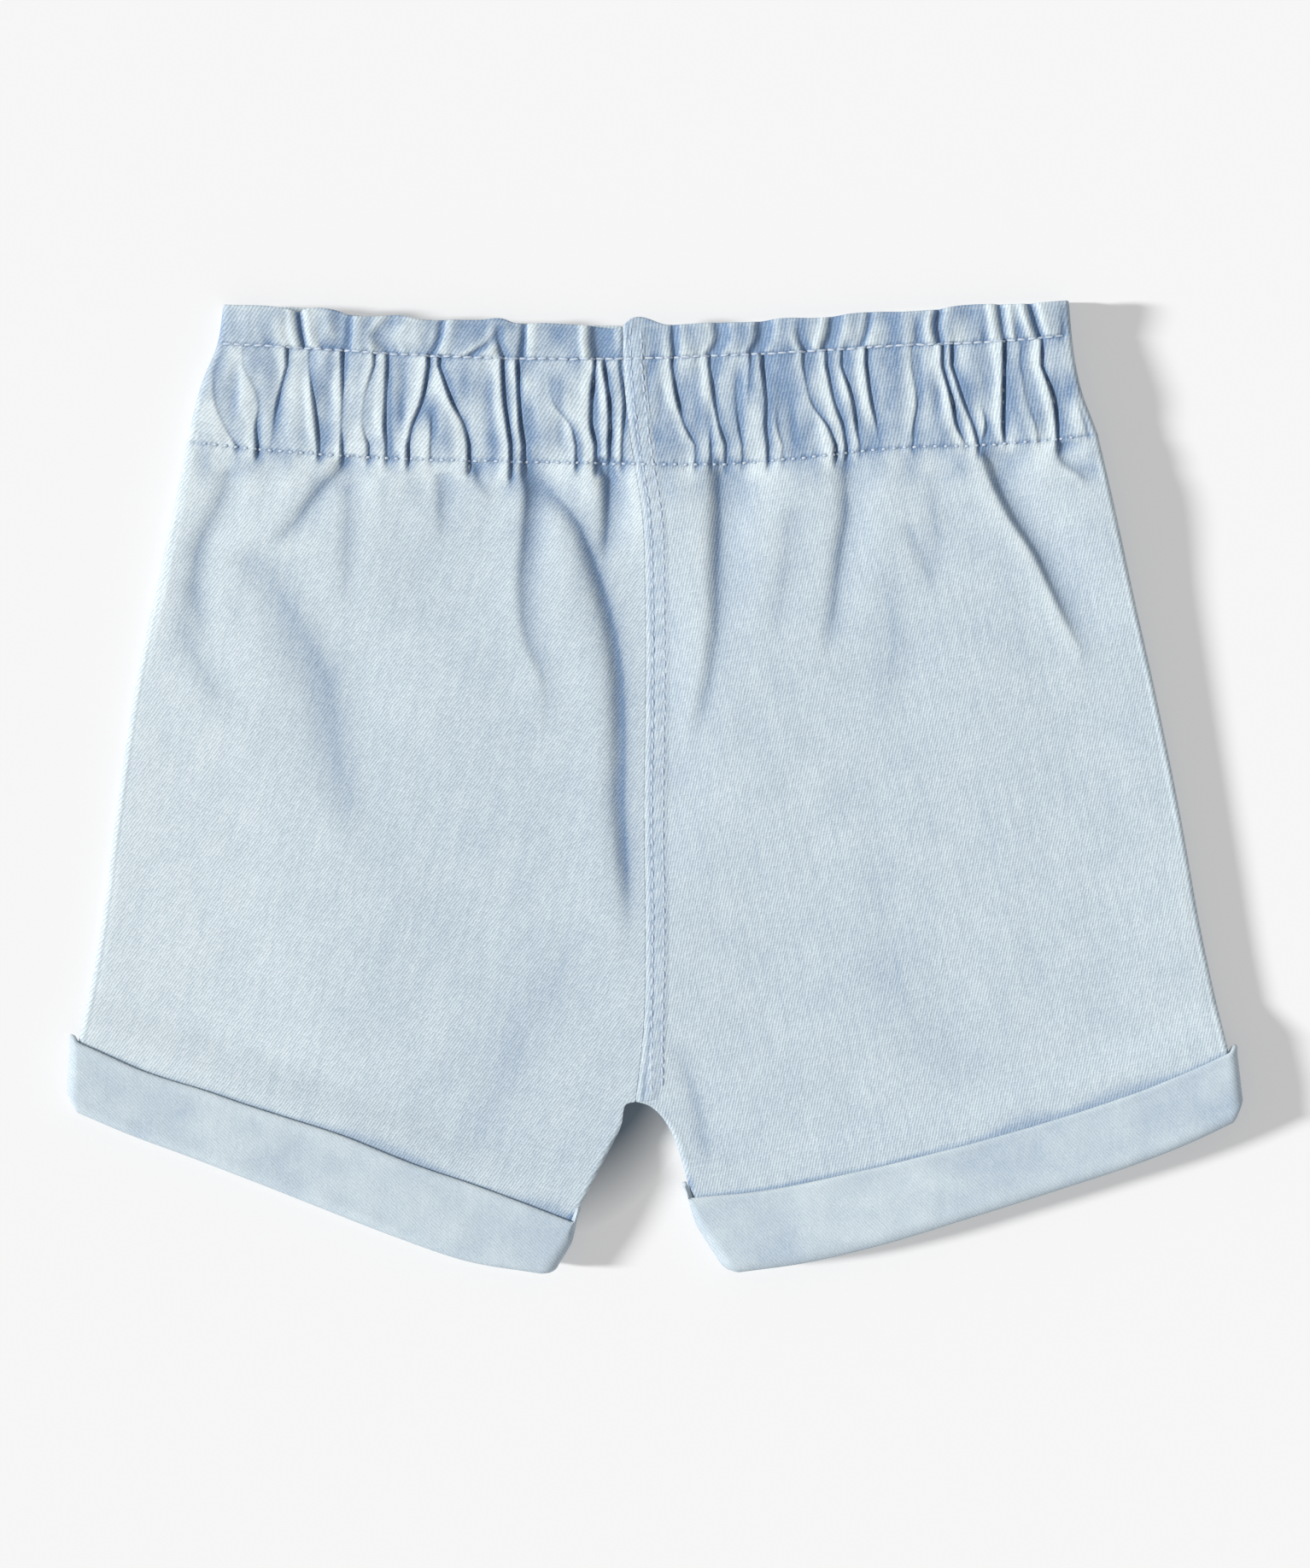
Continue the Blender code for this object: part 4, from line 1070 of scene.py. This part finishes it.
def wash_group():
    """Indigo cloth washed pale: how much white shows at each point, with painted shade between the wales."""
    inputs = (
        ("Cloth", "Vector", None),
        ("Wear", "Float", 0.5),
        ("Wale", "Float", 0.5),
        ("Yarn", "Float", 0.5),
        ("Indigo", "Color", (0.3, 0.4, 0.6, 1.0)),
        ("White", "Color", (0.7, 0.75, 0.75, 1.0)),
        ("Whiteness", "Float", 0.6),
        ("Contrast", "Float", 0.5),
        ("Mottling", "Float", 0.2),
        ("Shade", "Float", 0.3),
        ("Streaks", "Float", 0.5),
    )
    wear_strength, grain_strength = 0.9, 0.45
    tree, given, result = group("Stone wash", inputs, (("Colour", "Color"), ("White share", "Float")))
    cloth, share = given["Cloth"], given["Whiteness"]
    for value, strength in (
        (given["Wale"], given["Contrast"]),
        (given["Wear"], wear_strength),
        (given["Yarn"], given["Streaks"]),
        (noise(tree, cloth, 0.07, 4.0), given["Mottling"]),
        (noise(tree, cloth, 2.2, 2.0), grain_strength),
    ):
        share = maths(tree, "MULTIPLY_ADD", from_half(tree, value), strength, share)
    share = node(tree, "ShaderNodeClamp", {0: share}).outputs[0]
    colour = mixed(tree, share, given["Indigo"], given["White"])
    # Painted shade between the wales: the colour darkens evenly where the wale is low.
    deep = maths(tree, "MULTIPLY_ADD", from_half(tree, given["Wale"]), given["Shade"], 1.0)
    grey = node(tree, "ShaderNodeCombineXYZ", {0: deep, 1: deep, 2: deep}).outputs[0]
    tree.links.new(stretched(tree, colour, grey), result["Colour"])
    tree.links.new(share, result["White share"])
    return tree


def plain_material(name):
    """A material with its node tree and its shader."""
    made = bpy.data.materials.new(name)
    made.use_nodes = True
    return made, made.node_tree, made.node_tree.nodes["Principled BSDF"]


def attribute(tree, name, output):
    return node(tree, "ShaderNodeAttribute", attribute_name=name).outputs[output]


def emboss(tree, shader, height, distance):
    """A fine relief of this depth."""
    bump = node(tree, "ShaderNodeBump", {"Height": height, "Strength": 1.0, "Distance": distance * MM})
    tree.links.new(bump.outputs["Normal"], shader.inputs["Normal"])


def cloth_material(name, weave, colours, relief, roughness):
    """Woven cloth. The weave and the colours are the values of the two groups' inputs."""
    made, tree, shader = plain_material(name)
    cloth, wear = attribute(tree, "cloth", "Vector"), attribute(tree, "wear", "Fac")
    twill = node(tree, "ShaderNodeGroup", {"Cloth": cloth, **weave}, node_tree=TWILL).outputs
    wale, yarn = twill["Wale"], twill["Yarn"]
    inputs = {"Cloth": cloth, "Wear": wear, "Wale": wale, "Yarn": yarn, **colours}
    dye = node(tree, "ShaderNodeGroup", inputs, node_tree=WASH).outputs
    tree.links.new(dye["Colour"], shader.inputs["Base Color"])
    emboss(tree, shader, maths(tree, "MULTIPLY_ADD", yarn, 0.5, wale), relief)
    shader.inputs["Roughness"].default_value = roughness
    shader.inputs["Specular IOR Level"].default_value = 0.15
    return made


def thread_material(name, light, dark):
    """Twisted sewing thread."""
    twist_pitch = 0.35
    made, tree, shader = plain_material(name)
    cloth = attribute(tree, "cloth", "Vector")
    parts = node(tree, "ShaderNodeSeparateXYZ", {0: cloth}).outputs
    slant = maths(tree, "ADD", parts["X"], parts["Y"])
    ply = maths(tree, "SINE", maths(tree, "MULTIPLY", slant, 2 * math.pi / twist_pitch))
    share = maths(tree, "MULTIPLY_ADD", ply, 0.2, noise(tree, cloth, 0.8, 2.0))
    tree.links.new(mixed(tree, share, dark, light), shader.inputs["Base Color"])
    emboss(tree, shader, ply, 0.03)
    shader.inputs["Roughness"].default_value = 0.6
    return made


TWILL, WASH = twill_group(), wash_group()
DYE = {"Indigo": INDIGO, "White": WHITE}
DENIM = cloth_material(
    "washed denim",
    {"Lean": math.radians(65.0), "Pitch": 0.775, "Unevenness": 0.6},
    {**DYE, "Whiteness": 0.79, "Contrast": 0.23, "Mottling": 0.24, "Shade": 0.25, "Streaks": 0.55},
    0.05,
    0.9,
)
DENIM_REVERSE = cloth_material(
    "washed denim, reverse",
    {"Lean": math.radians(135.0), "Pitch": 0.75, "Unevenness": 0.9},
    {**DYE, "Whiteness": 0.77, "Contrast": 0.12, "Mottling": 0.30, "Shade": 0.08, "Streaks": 0.2},
    0.025,
    0.95,
)
THREAD_WHITE = thread_material("bleached blue thread", (0.76, 0.82, 0.89, 1.0), (0.50, 0.61, 0.76, 1.0))
THREAD_BLUE = thread_material("light blue thread", (0.74, 0.82, 0.92, 1.0), (0.50, 0.61, 0.79, 1.0))


# The panels.


def clear_of_edges(from_side, from_inner, amount):
    """0 at the rolled edges and 1 away from them."""
    return ease(from_side, *SIDE_CLEAR) * (1 - amount * (1 - ease(from_inner, *SIDE_CLEAR)))


def painted_cuff_shade(x, y):
    """Painted shade: a dark band on the leg above the cuffs' edges, and the dark of their openings."""
    wide = CUFF_PAINTED_SHADE_WIDTHS[0] + CUFF_PAINTED_SHADE_WIDTHS[1] * sum(hump(x, 1.0, *shade) for shade in CUFF_PAINTED_SHADE_PLACES)
    above = np.maximum(y - cuff_line("top", x), 0.0)
    shade = hump(above, CUFF_PAINTED_SHADE, 0.0, wide)
    for at_x, at_y, half_x, half_y in CUFF_OPENINGS:
        shade = shade + CUFF_OPENING_PAINTED_SHADE * np.exp(-(((x - at_x) / half_x) ** 2) - ((y - at_y) / half_y) ** 2)
    return shade


def back_panel(plan, side, casing):
    """The outer and inner grids of a back piece, the place of each point on the cloth, and its wear and
    painted shade.
    """
    x, y, from_side, from_inner, amount = plan
    points, normals = sheet(x, y, from_side, from_inner, amount, "back")
    clear = clear_of_edges(from_side, from_inner, amount)
    relief, gather_blue, crease_blue_and_shade = back_relief(x, y)
    relief = relief * clear
    side_seam = hump(from_side, *SIDE_RIDGE) - hump(from_side, *SIDE_GROOVE)
    outer = points + (CLOTH / 2 + relief + side_seam)[..., None] * normals
    inner = points + (relief - CLOTH / 2)[..., None] * normals
    part = "casing" if casing else "leg"
    edge, upper, lower = waist_lines(x)
    wear = wear_of(relief, *RUBBING[part]) - GATHER_BLUE * clear * gather_blue
    # the creases' stayed indigo, deepened as painted shade
    wear -= CREASE_BLUE_AND_SHADE * clear * crease_blue_and_shade
    uneven_wear = UNDER_ROW_WEAR * (crumples("wear under the lower row", x, y) - 0.2)
    wear += uneven_wear * ease(lower - y, 16.0, 0.0)
    wear += read(TONE_ACROSS, part, x)
    for line in (upper, lower):
        wear -= hump(y - line, *ROW_BLUE)
    if casing:
        wear += hump(edge - y, *FRILL_EDGE_WEAR) - FRILL_BLUE * ease(y - upper, 0.0, 2.0)
    else:
        # painted shade above the cuffs' edges and in their openings
        wear -= painted_cuff_shade(x, y)
    wear = np.clip(wear + hump(from_side, *SIDE_WEAR), *WEAR_AND_SHADE_RANGE)
    return outer, inner, lay_out(points, side, casing), wear, normals


def front_panel(plan, side, casing):
    """The same for a front piece, whose outside faces down and lies flat."""
    x, y, from_side, from_inner, amount = plan
    points, normals = sheet(x, y, from_side, from_inner, amount, "front")
    relief = front_relief(x, y) * clear_of_edges(from_side, from_inner, amount)
    outer = points - (CLOTH / 2 + relief)[..., None] * normals
    inner = points + CLOTH / 2 * normals
    return outer, inner, lay_out(points, side, casing), wear_of(relief, *RUBBING["front"]), normals


def lap_profile(a):
    """How high the felled seam's lap stands on the right panel: a folded edge, then two sewn channels."""
    edge = LAP_RISE * ease(a, -0.3, 1.8) + hump(a, *LAP_EDGE)
    channels = sum(hump(a - row, *LAP_CHANNEL) for row in SEAM_ROWS)
    return edge - channels - LAP_DROP * ease(a, SEAM_ROWS[1], LAP_WIDTH)


def lap_relief(a, down):
    """The lap with the slanting puckers that the stitches draw up."""
    slanted = (down + LAP_PUCKER_SLANT * a) / LAP_PUCKER_PITCH
    pucker = np.sin(2 * math.pi * slanted + crumples("lap's puckers", down, a))
    between = ease(a, 0.9, 2.0) * ease(a, 6.2, 5.0)
    return lap_profile(a) + LAP_PUCKER * pucker * between + crumples("lap", down, a)


def build_lap(node_name, panel, rows):
    """A seam's lap, on the inner columns of the right back panel."""
    outer, _, cloth, _, normals = panel
    flat = outer[..., :2]
    columns = int(np.searchsorted(np.linalg.norm(flat[0] - flat[0, 0], axis=-1), LAP_WIDTH)) + 1
    a = np.linalg.norm(flat[:rows, :columns] - flat[:rows, :1], axis=-1)
    fine = np.linspace(0.0, LAP_WIDTH, LAP_POINTS)

    def at_fine_columns(values):
        lines = [[np.interp(fine, a[i], values[i, :columns, k]) for k in range(3)] for i in range(rows)]
        return np.array(lines).transpose(0, 2, 1)

    grid, up, laid = (at_fine_columns(values) for values in (outer, normals, cloth))
    down = np.broadcast_to(-grid[:, :1, 1], grid.shape[:2])
    across = np.broadcast_to(fine, grid.shape[:2])
    lift = lap_relief(across, down)
    top = grid + lift[..., None] * up
    under = grid + np.minimum(lift - LAP_THICKNESS, 0.2)[..., None] * up
    wear = LAP_DYE[node_name] + 0.8 * (lift - blurred(lift, 4)) + hump(across, *LAP_EDGE_WEAR)
    wear -= hump(across, *LAP_FOOT_BLUE)
    obj = shell(f"{node_name}_lap", top, under, laid, wear, BULGES["lap"], DENIM)
    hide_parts(node_name)
    return obj


def build_panels():
    for side in SIDES:
        for face, make in (("front", front_panel), ("back", back_panel)):
            leg = make(leg_plan(side, face), side, False)
            casing = make(casing_plan(side, face), side, True)
            leg_laps, casing_laps = [], []
            if (face, side) == ("back", "right"):
                leg_laps.append(build_lap("back_seam", leg, LEG_ROWS["back"][0] + 1))
                casing_laps.append(build_lap("waist_seam", casing, len(casing[0])))
            obj = shell(f"{face}_{side}_leg_panel", *leg[:4], BULGES["leg"], DENIM)
            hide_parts(f"{face}_{side}_leg")
            obj = shell(f"{face}_{side}_casing_panel", *casing[:4], BULGES["casing"], DENIM)
            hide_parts(f"{face}_{side}_casing")


# The cuffs.


def cuff_section():
    """The cuff's wall cut across, all the way round: the height up the leg and the distance from its axis."""
    inside = CUFF_RADIUS - CUFF_WALL
    corners = (
        (CUFF_HEIGHT - 0.3, inside + 0.05),
        (CUFF_HEIGHT, inside + 0.45),
        (CUFF_HEIGHT - 0.35, inside + 1.0),
        (CUFF_HEIGHT * 0.86, inside + 1.15),
        (CUFF_HEIGHT * 0.55, inside + 1.45),
        (CUFF_HEIGHT * 0.25, inside + 1.65),
        (1.9, CUFF_RADIUS - 0.22),
        (0.7, CUFF_RADIUS - 0.9),
        (0.12, CUFF_RADIUS - 1.8),
        (0.12, 1.0),
        (0.6, 0.32),
        (1.2, 0.45),
        (1.5, 1.2),
        (1.9, inside),
        (CUFF_HEIGHT / 2, inside),
    )
    closed = np.array([*corners, corners[0]])
    return along(closed, np.linspace(0.0, 1.0, CUFF_SECTION_POINTS + 1))[:-1]


def build_cuff(side):
    """A ring round the end of the leg, flattened: a straight back and front joined by two half turns."""
    lines = np.array(CUFF_LINES[side])
    shares = np.linspace(0.0, 1.0, CUFF_STATIONS)
    top, fold = along(lines[:, 0:2], shares), along(lines[:, 2:4], shares)
    turn = np.radians(np.linspace(90.0, -90.0, CUFF_TURN_STEPS + 1))[1:-1]
    stations = [(t, f, (0.0, 0.0, 1.0)) for t, f in zip(top, fold)]
    for end, inward in ((-1, -2), (0, 1)):
        if end == 0:
            stations += [(t, f, (0.0, 0.0, -1.0)) for t, f in zip(top[::-1], fold[::-1])]
        out = (top[end] + fold[end]) - (top[inward] + fold[inward])
        out /= np.linalg.norm(out)
        for angle in turn if end == -1 else turn[::-1]:
            stations.append((top[end], fold[end], (*(out * math.cos(angle)), math.sin(angle))))
    top, fold, outward = (np.array([station[k] for station in stations]) for k in range(3))
    section = cuff_section()
    up, reach = section[:, 0], section[:, 1]
    share = (up / CUFF_HEIGHT)[None, :, None]
    plan = fold[:, None] + (top - fold)[:, None] * share
    turned = np.linalg.norm(outward[:, :2], axis=1)
    inner = np.abs(top[:, 0]) < CUFF_INNER_REACH
    lobe = np.where(inner, *CUFF_LOBES) * ease(turned, 0.1, 0.9)
    leaning = np.where(inner, CUFF_LEANING, -CUFF_LEANING) * np.sign(top[:, 0])
    lift = lobe[:, None] * ease(up, CUFF_HEIGHT * 0.6, CUFF_HEIGHT)[None]
    plan += lift[..., None] * np.stack([leaning, np.ones_like(leaning)], axis=-1)[:, None]
    rounding = np.where(inner, *CUFF_ROUNDING) * turned**2
    drawn = rounding[:, None] * ease(up, CUFF_HEIGHT * 0.45, 0.0)[None]
    plan += drawn[..., None] * ((top - fold) / np.linalg.norm(top - fold, axis=1)[:, None])[:, None]
    x, y = plan[..., 0], plan[..., 1]
    upper = np.maximum(outward[:, 2], 0.0)[:, None]
    outside = ease(reach, CUFF_RADIUS - CUFF_WALL + 0.5, CUFF_RADIUS - 0.9)[None]
    edge_wave = crumples("cuff's edge", x, y) * ease(up, CUFF_HEIGHT * 0.7, CUFF_HEIGHT)
    relief = crumples("cuff", x, y) * outside * upper
    height = CUFF_AXIS + outward[:, None, 2] * (reach[None] + relief)
    spread = outward[:, None, :2] * reach[None, :, None]
    points = np.stack([x + spread[..., 0], y + spread[..., 1] + edge_wave, height], axis=-1)
    count, ring = points.shape[:2]
    grid = np.arange(count * ring).reshape(count, ring)
    after, beside = np.roll(grid, -1, axis=0), np.roll(grid, -1, axis=1)
    both = np.roll(after, -1, axis=1)
    faces = np.stack([grid, beside, both, after], axis=-1).reshape(-1, 4)
    if side == "right":
        faces = faces[:, ::-1]
    wear = 0.5 + 0.8 * relief + hump(up, *CUFF_EDGE_WEAR)[None] + read(TONE_ACROSS, "cuff", x)
    wear = np.clip(wear, 0.0, 1.0)
    obj = mesh_object(f"{side}_turn_up", points.reshape(-1, 3), faces.tolist(), DENIM_REVERSE, points, wear)
    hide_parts(f"{side}_cuff")
    return obj


# The stitches.


def stitch_row(centres, tangents, normals, stitch):
    """Stitches along a row, each a short arched length of thread whose ends go into the cloth."""
    ring = 6
    steps = np.array((-1.0, -0.86, -0.5, 0.0, 0.5, 0.86, 1.0))
    fat = stitch.thread * np.array((0.25, 0.75, 1.0, 1.06, 1.0, 0.75, 0.25))
    angles = 2 * math.pi * np.arange(ring) / ring
    wide, high = THREAD_CUT
    points, faces, cloth = [], [], []
    drawn = np.random.default_rng(len(centres)).uniform(-1.0, 1.0, (len(centres), 3))
    for centre, tangent, normal, (turn, shift, longer) in zip(centres, tangents, normals, drawn):
        side = np.cross(tangent, normal)
        centre = centre + side * shift * STITCH_WANDER
        tangent = tangent + side * turn * STITCH_TURN
        long = stitch.size * (1 + STITCH_UNEVENNESS * longer)
        start = len(points)
        for step, radius in zip(steps, fat):
            middle = centre + tangent * step * long / 2 + normal * (stitch.arch * (1 - step**2) - stitch.sink)
            for angle in angles:
                out = side * math.cos(angle) * wide + normal * math.sin(angle) * high
                points.append(middle + radius * out)
                cloth.append((step * stitch.size / 2, angle * stitch.thread, centre[0]))
        last = start + ring * (len(steps) - 1)
        for k in range(len(steps) - 1):
            for m in range(ring):
                a, b = start + k * ring + m, start + k * ring + (m + 1) % ring
                faces.append((a, b, b + ring, a + ring))
        faces.append([start + m for m in range(ring)][::-1])
        faces.append([last + m for m in range(ring)])
    return points, faces, cloth


def along_surface(points, first):
    """Centres and directions of stitches at even spacing along a line of points."""
    steps = np.linalg.norm(np.diff(points, axis=0), axis=1)
    run = np.concatenate([[0.0], np.cumsum(steps)])
    at = np.arange(first, run[-1] - first, STITCH_PITCH)
    here, before, after = (
        np.stack([np.interp(at + away, run, points[:, k]) for k in range(3)], axis=-1)
        for away in (0.0, -STITCH_AIM, STITCH_AIM)
    )
    tangents = after - before
    return (before + after) / 2 * 0.5 + here * 0.5, tangents / np.linalg.norm(tangents, axis=1, keepdims=True)


def square_to(tangents, up):
    """Unit vectors square to the tangents, on the side of up."""
    normals = up - (tangents @ up)[:, None] * tangents
    return normals / np.linalg.norm(normals, axis=1, keepdims=True)


def back_top(x, y):
    """The height of the back's surface, with the lap near the centre seam."""
    a = x - read(OUTLINE, "seam", y)
    lap = np.where((a > 0) & (a < LAP_WIDTH), lap_profile(a), 0.0)
    return base_heights(x, y)[1] + back_relief(x, y)[0] + CLOTH / 2 + lap


def front_under(x, y):
    """The height of the front's underside."""
    return -front_relief(x, y)


def sew(name, rows, up, finish):
    """Thread work from rows of points, each with its kind of stitch, on the side of up."""
    points, faces, cloth = [], [], []
    for line, stitch in rows:
        centres, tangents = along_surface(line, stitch.first)
        normals = square_to(tangents, np.array(up))
        more, more_faces, more_cloth = stitch_row(centres, tangents, normals, stitch)
        faces += [[i + len(points) for i in face] for face in more_faces]
        points += more
        cloth += more_cloth
    obj = mesh_object(name, np.array(points), faces, finish, np.array(cloth), np.full(len(points), 0.5))


def waist_row(name, height_of):
    """Points along a waist row."""
    x = np.arange(waist_x("left", 1.0, 0.5), waist_x("right", 1.0, 0.5), ROW_STEP)
    y = read(WAIST_LINES, name, x)
    inside = (x > read(OUTLINE, "left", y) + ROW_MARGIN) & (x < read(OUTLINE, "right", y) - ROW_MARGIN)
    x, y = x[inside], y[inside]
    return np.stack([x, y, height_of(x, y)], axis=-1)


def seam_row(face, away, height_of):
    """Points beside the centre seam, from the top down."""
    y = np.arange(SEAM_ROWS_TOP, SEAM_ROWS_END[face], -ROW_STEP)
    x = read(OUTLINE, "seam", y) + away
    return np.stack([x, y, height_of(x, y)], axis=-1)


def build_stitches():
    up, down = (0.0, 0.0, 1.0), (0.0, 0.0, -1.0)
    sew("upper_waist_row", [(waist_row("upper", back_top), UPPER_STITCH)], up, THREAD_WHITE)
    sew("lower_waist_row", [(waist_row("lower", back_top), LOWER_STITCH)], up, THREAD_WHITE)
    rows = [(seam_row("back", away, back_top), stitch) for away, stitch in zip(SEAM_ROWS, SEAM_STITCHES)]
    sew("back_seam_rows", rows, up, THREAD_BLUE)
    rows = [(waist_row(name, front_under), FRONT_STITCH) for name in ("upper", "lower")]
    rows += [(seam_row("front", -away, front_under), FRONT_SEAM_STITCH) for away in SEAM_ROWS]
    sew("front_rows", rows, down, THREAD_BLUE)


# The room.


def soft_lamp(name, strength, elevation, bearing, width, floor, on_floor, clear=()):
    """A wide lamp far away, in degrees above the floor and round from +X, on the floor alone or on the rest.

    The clear pieces throw no shadow from it.
    """
    lamp = bpy.data.lights.new(name, "SUN")
    lamp.energy = strength
    lamp.angle = math.radians(width)
    obj = bpy.data.objects.new(name, lamp)
    obj.rotation_euler = (math.radians(90.0 - elevation), 0.0, math.radians(bearing + 90.0))
    bpy.context.scene.collection.objects.link(obj)
    lit = bpy.data.collections.new(f"lit by {name}")
    lit.objects.link(floor)
    if not on_floor:
        lit.collection_objects[0].light_linking.link_state = "EXCLUDE"
    obj.light_linking.receiver_collection = lit
    if clear:
        seen_through = bpy.data.collections.new(f"no shadow of {name}")
        for number, piece in enumerate(clear):
            seen_through.objects.link(piece)
            seen_through.collection_objects[number].light_linking.link_state = "EXCLUDE"
        obj.light_linking.blocker_collection = seen_through


def floor_material():
    """White card with some light of its own, and a shadow painted in the gap between the legs."""
    made, tree, shader = plain_material("lit white table")
    place = node(tree, "ShaderNodeTexCoord").outputs["Object"]
    fleck = noise(tree, place, 900.0, 2.0)
    # Painted shadow: a soft oval between the legs where the floor's colour and glow are darkened.
    inputs = {"Vector": place, "Location": LEG_GAP_PLACE, "Scale": LEG_GAP_SIZE, "Rotation": LEG_GAP_TURN}
    around = node(tree, "ShaderNodeMapping", inputs, vector_type="TEXTURE").outputs["Vector"]
    near = node(tree, "ShaderNodeTexGradient", {"Vector": around}, gradient_type="SPHERICAL").outputs["Fac"]
    start, end = LEG_GAP_SOFTNESS
    spans = {"Value": near, "From Min": start, "From Max": end, "To Min": 0.0, "To Max": 1.0}
    painted_gap_shadow = node(tree, "ShaderNodeMapRange", spans).outputs["Result"]
    colour = mixed(tree, painted_gap_shadow, mixed(tree, fleck, *FLOOR_GREYS), GAP_PAINTED_SHADOW_COLOUR)
    tree.links.new(colour, shader.inputs["Base Color"])
    tree.links.new(mixed(tree, painted_gap_shadow, FLOOR_GLOW, GAP_PAINTED_SHADOW_GLOW), shader.inputs["Emission Color"])
    shader.inputs["Roughness"].default_value = 1.0
    shader.inputs["Specular IOR Level"].default_value = 0.0
    shader.inputs["Emission Strength"].default_value = 0.27
    return made


def build_room(cuffs):
    bpy.ops.mesh.primitive_plane_add(size=4.0)
    floor = bpy.context.object
    floor.name = "floor"
    floor.data.materials.append(floor_material())

    scene = bpy.context.scene
    scene.view_settings.view_transform = "Standard"
    scene.view_settings.look = "None"
    world = bpy.data.worlds.new("soft studio")
    world.use_nodes = True
    world.node_tree.nodes["Background"].inputs["Color"].default_value = ROOM_GREY
    scene.world = world
    soft_lamp("low window on the floor", 9.1, 13.0, 179.0, 5.2, floor, True, cuffs)
    soft_lamp("window on the cloth", 2.96, 41.0, 176.0, 10.0, floor, False)

    lens = bpy.data.cameras.new("camera")
    lens.sensor_fit = "VERTICAL"
    lens.sensor_height = SENSOR_HEIGHT
    lens.lens = SENSOR_HEIGHT * CAMERA_PLACE[2] / VIEW_HEIGHT
    camera = bpy.data.objects.new("camera", lens)
    camera.location = CAMERA_PLACE
    scene.collection.objects.link(camera)
    scene.camera = camera


build_panels()
turned_up = [build_cuff(cuff_side) for cuff_side in SIDES]
build_stitches()
build_room(turned_up)
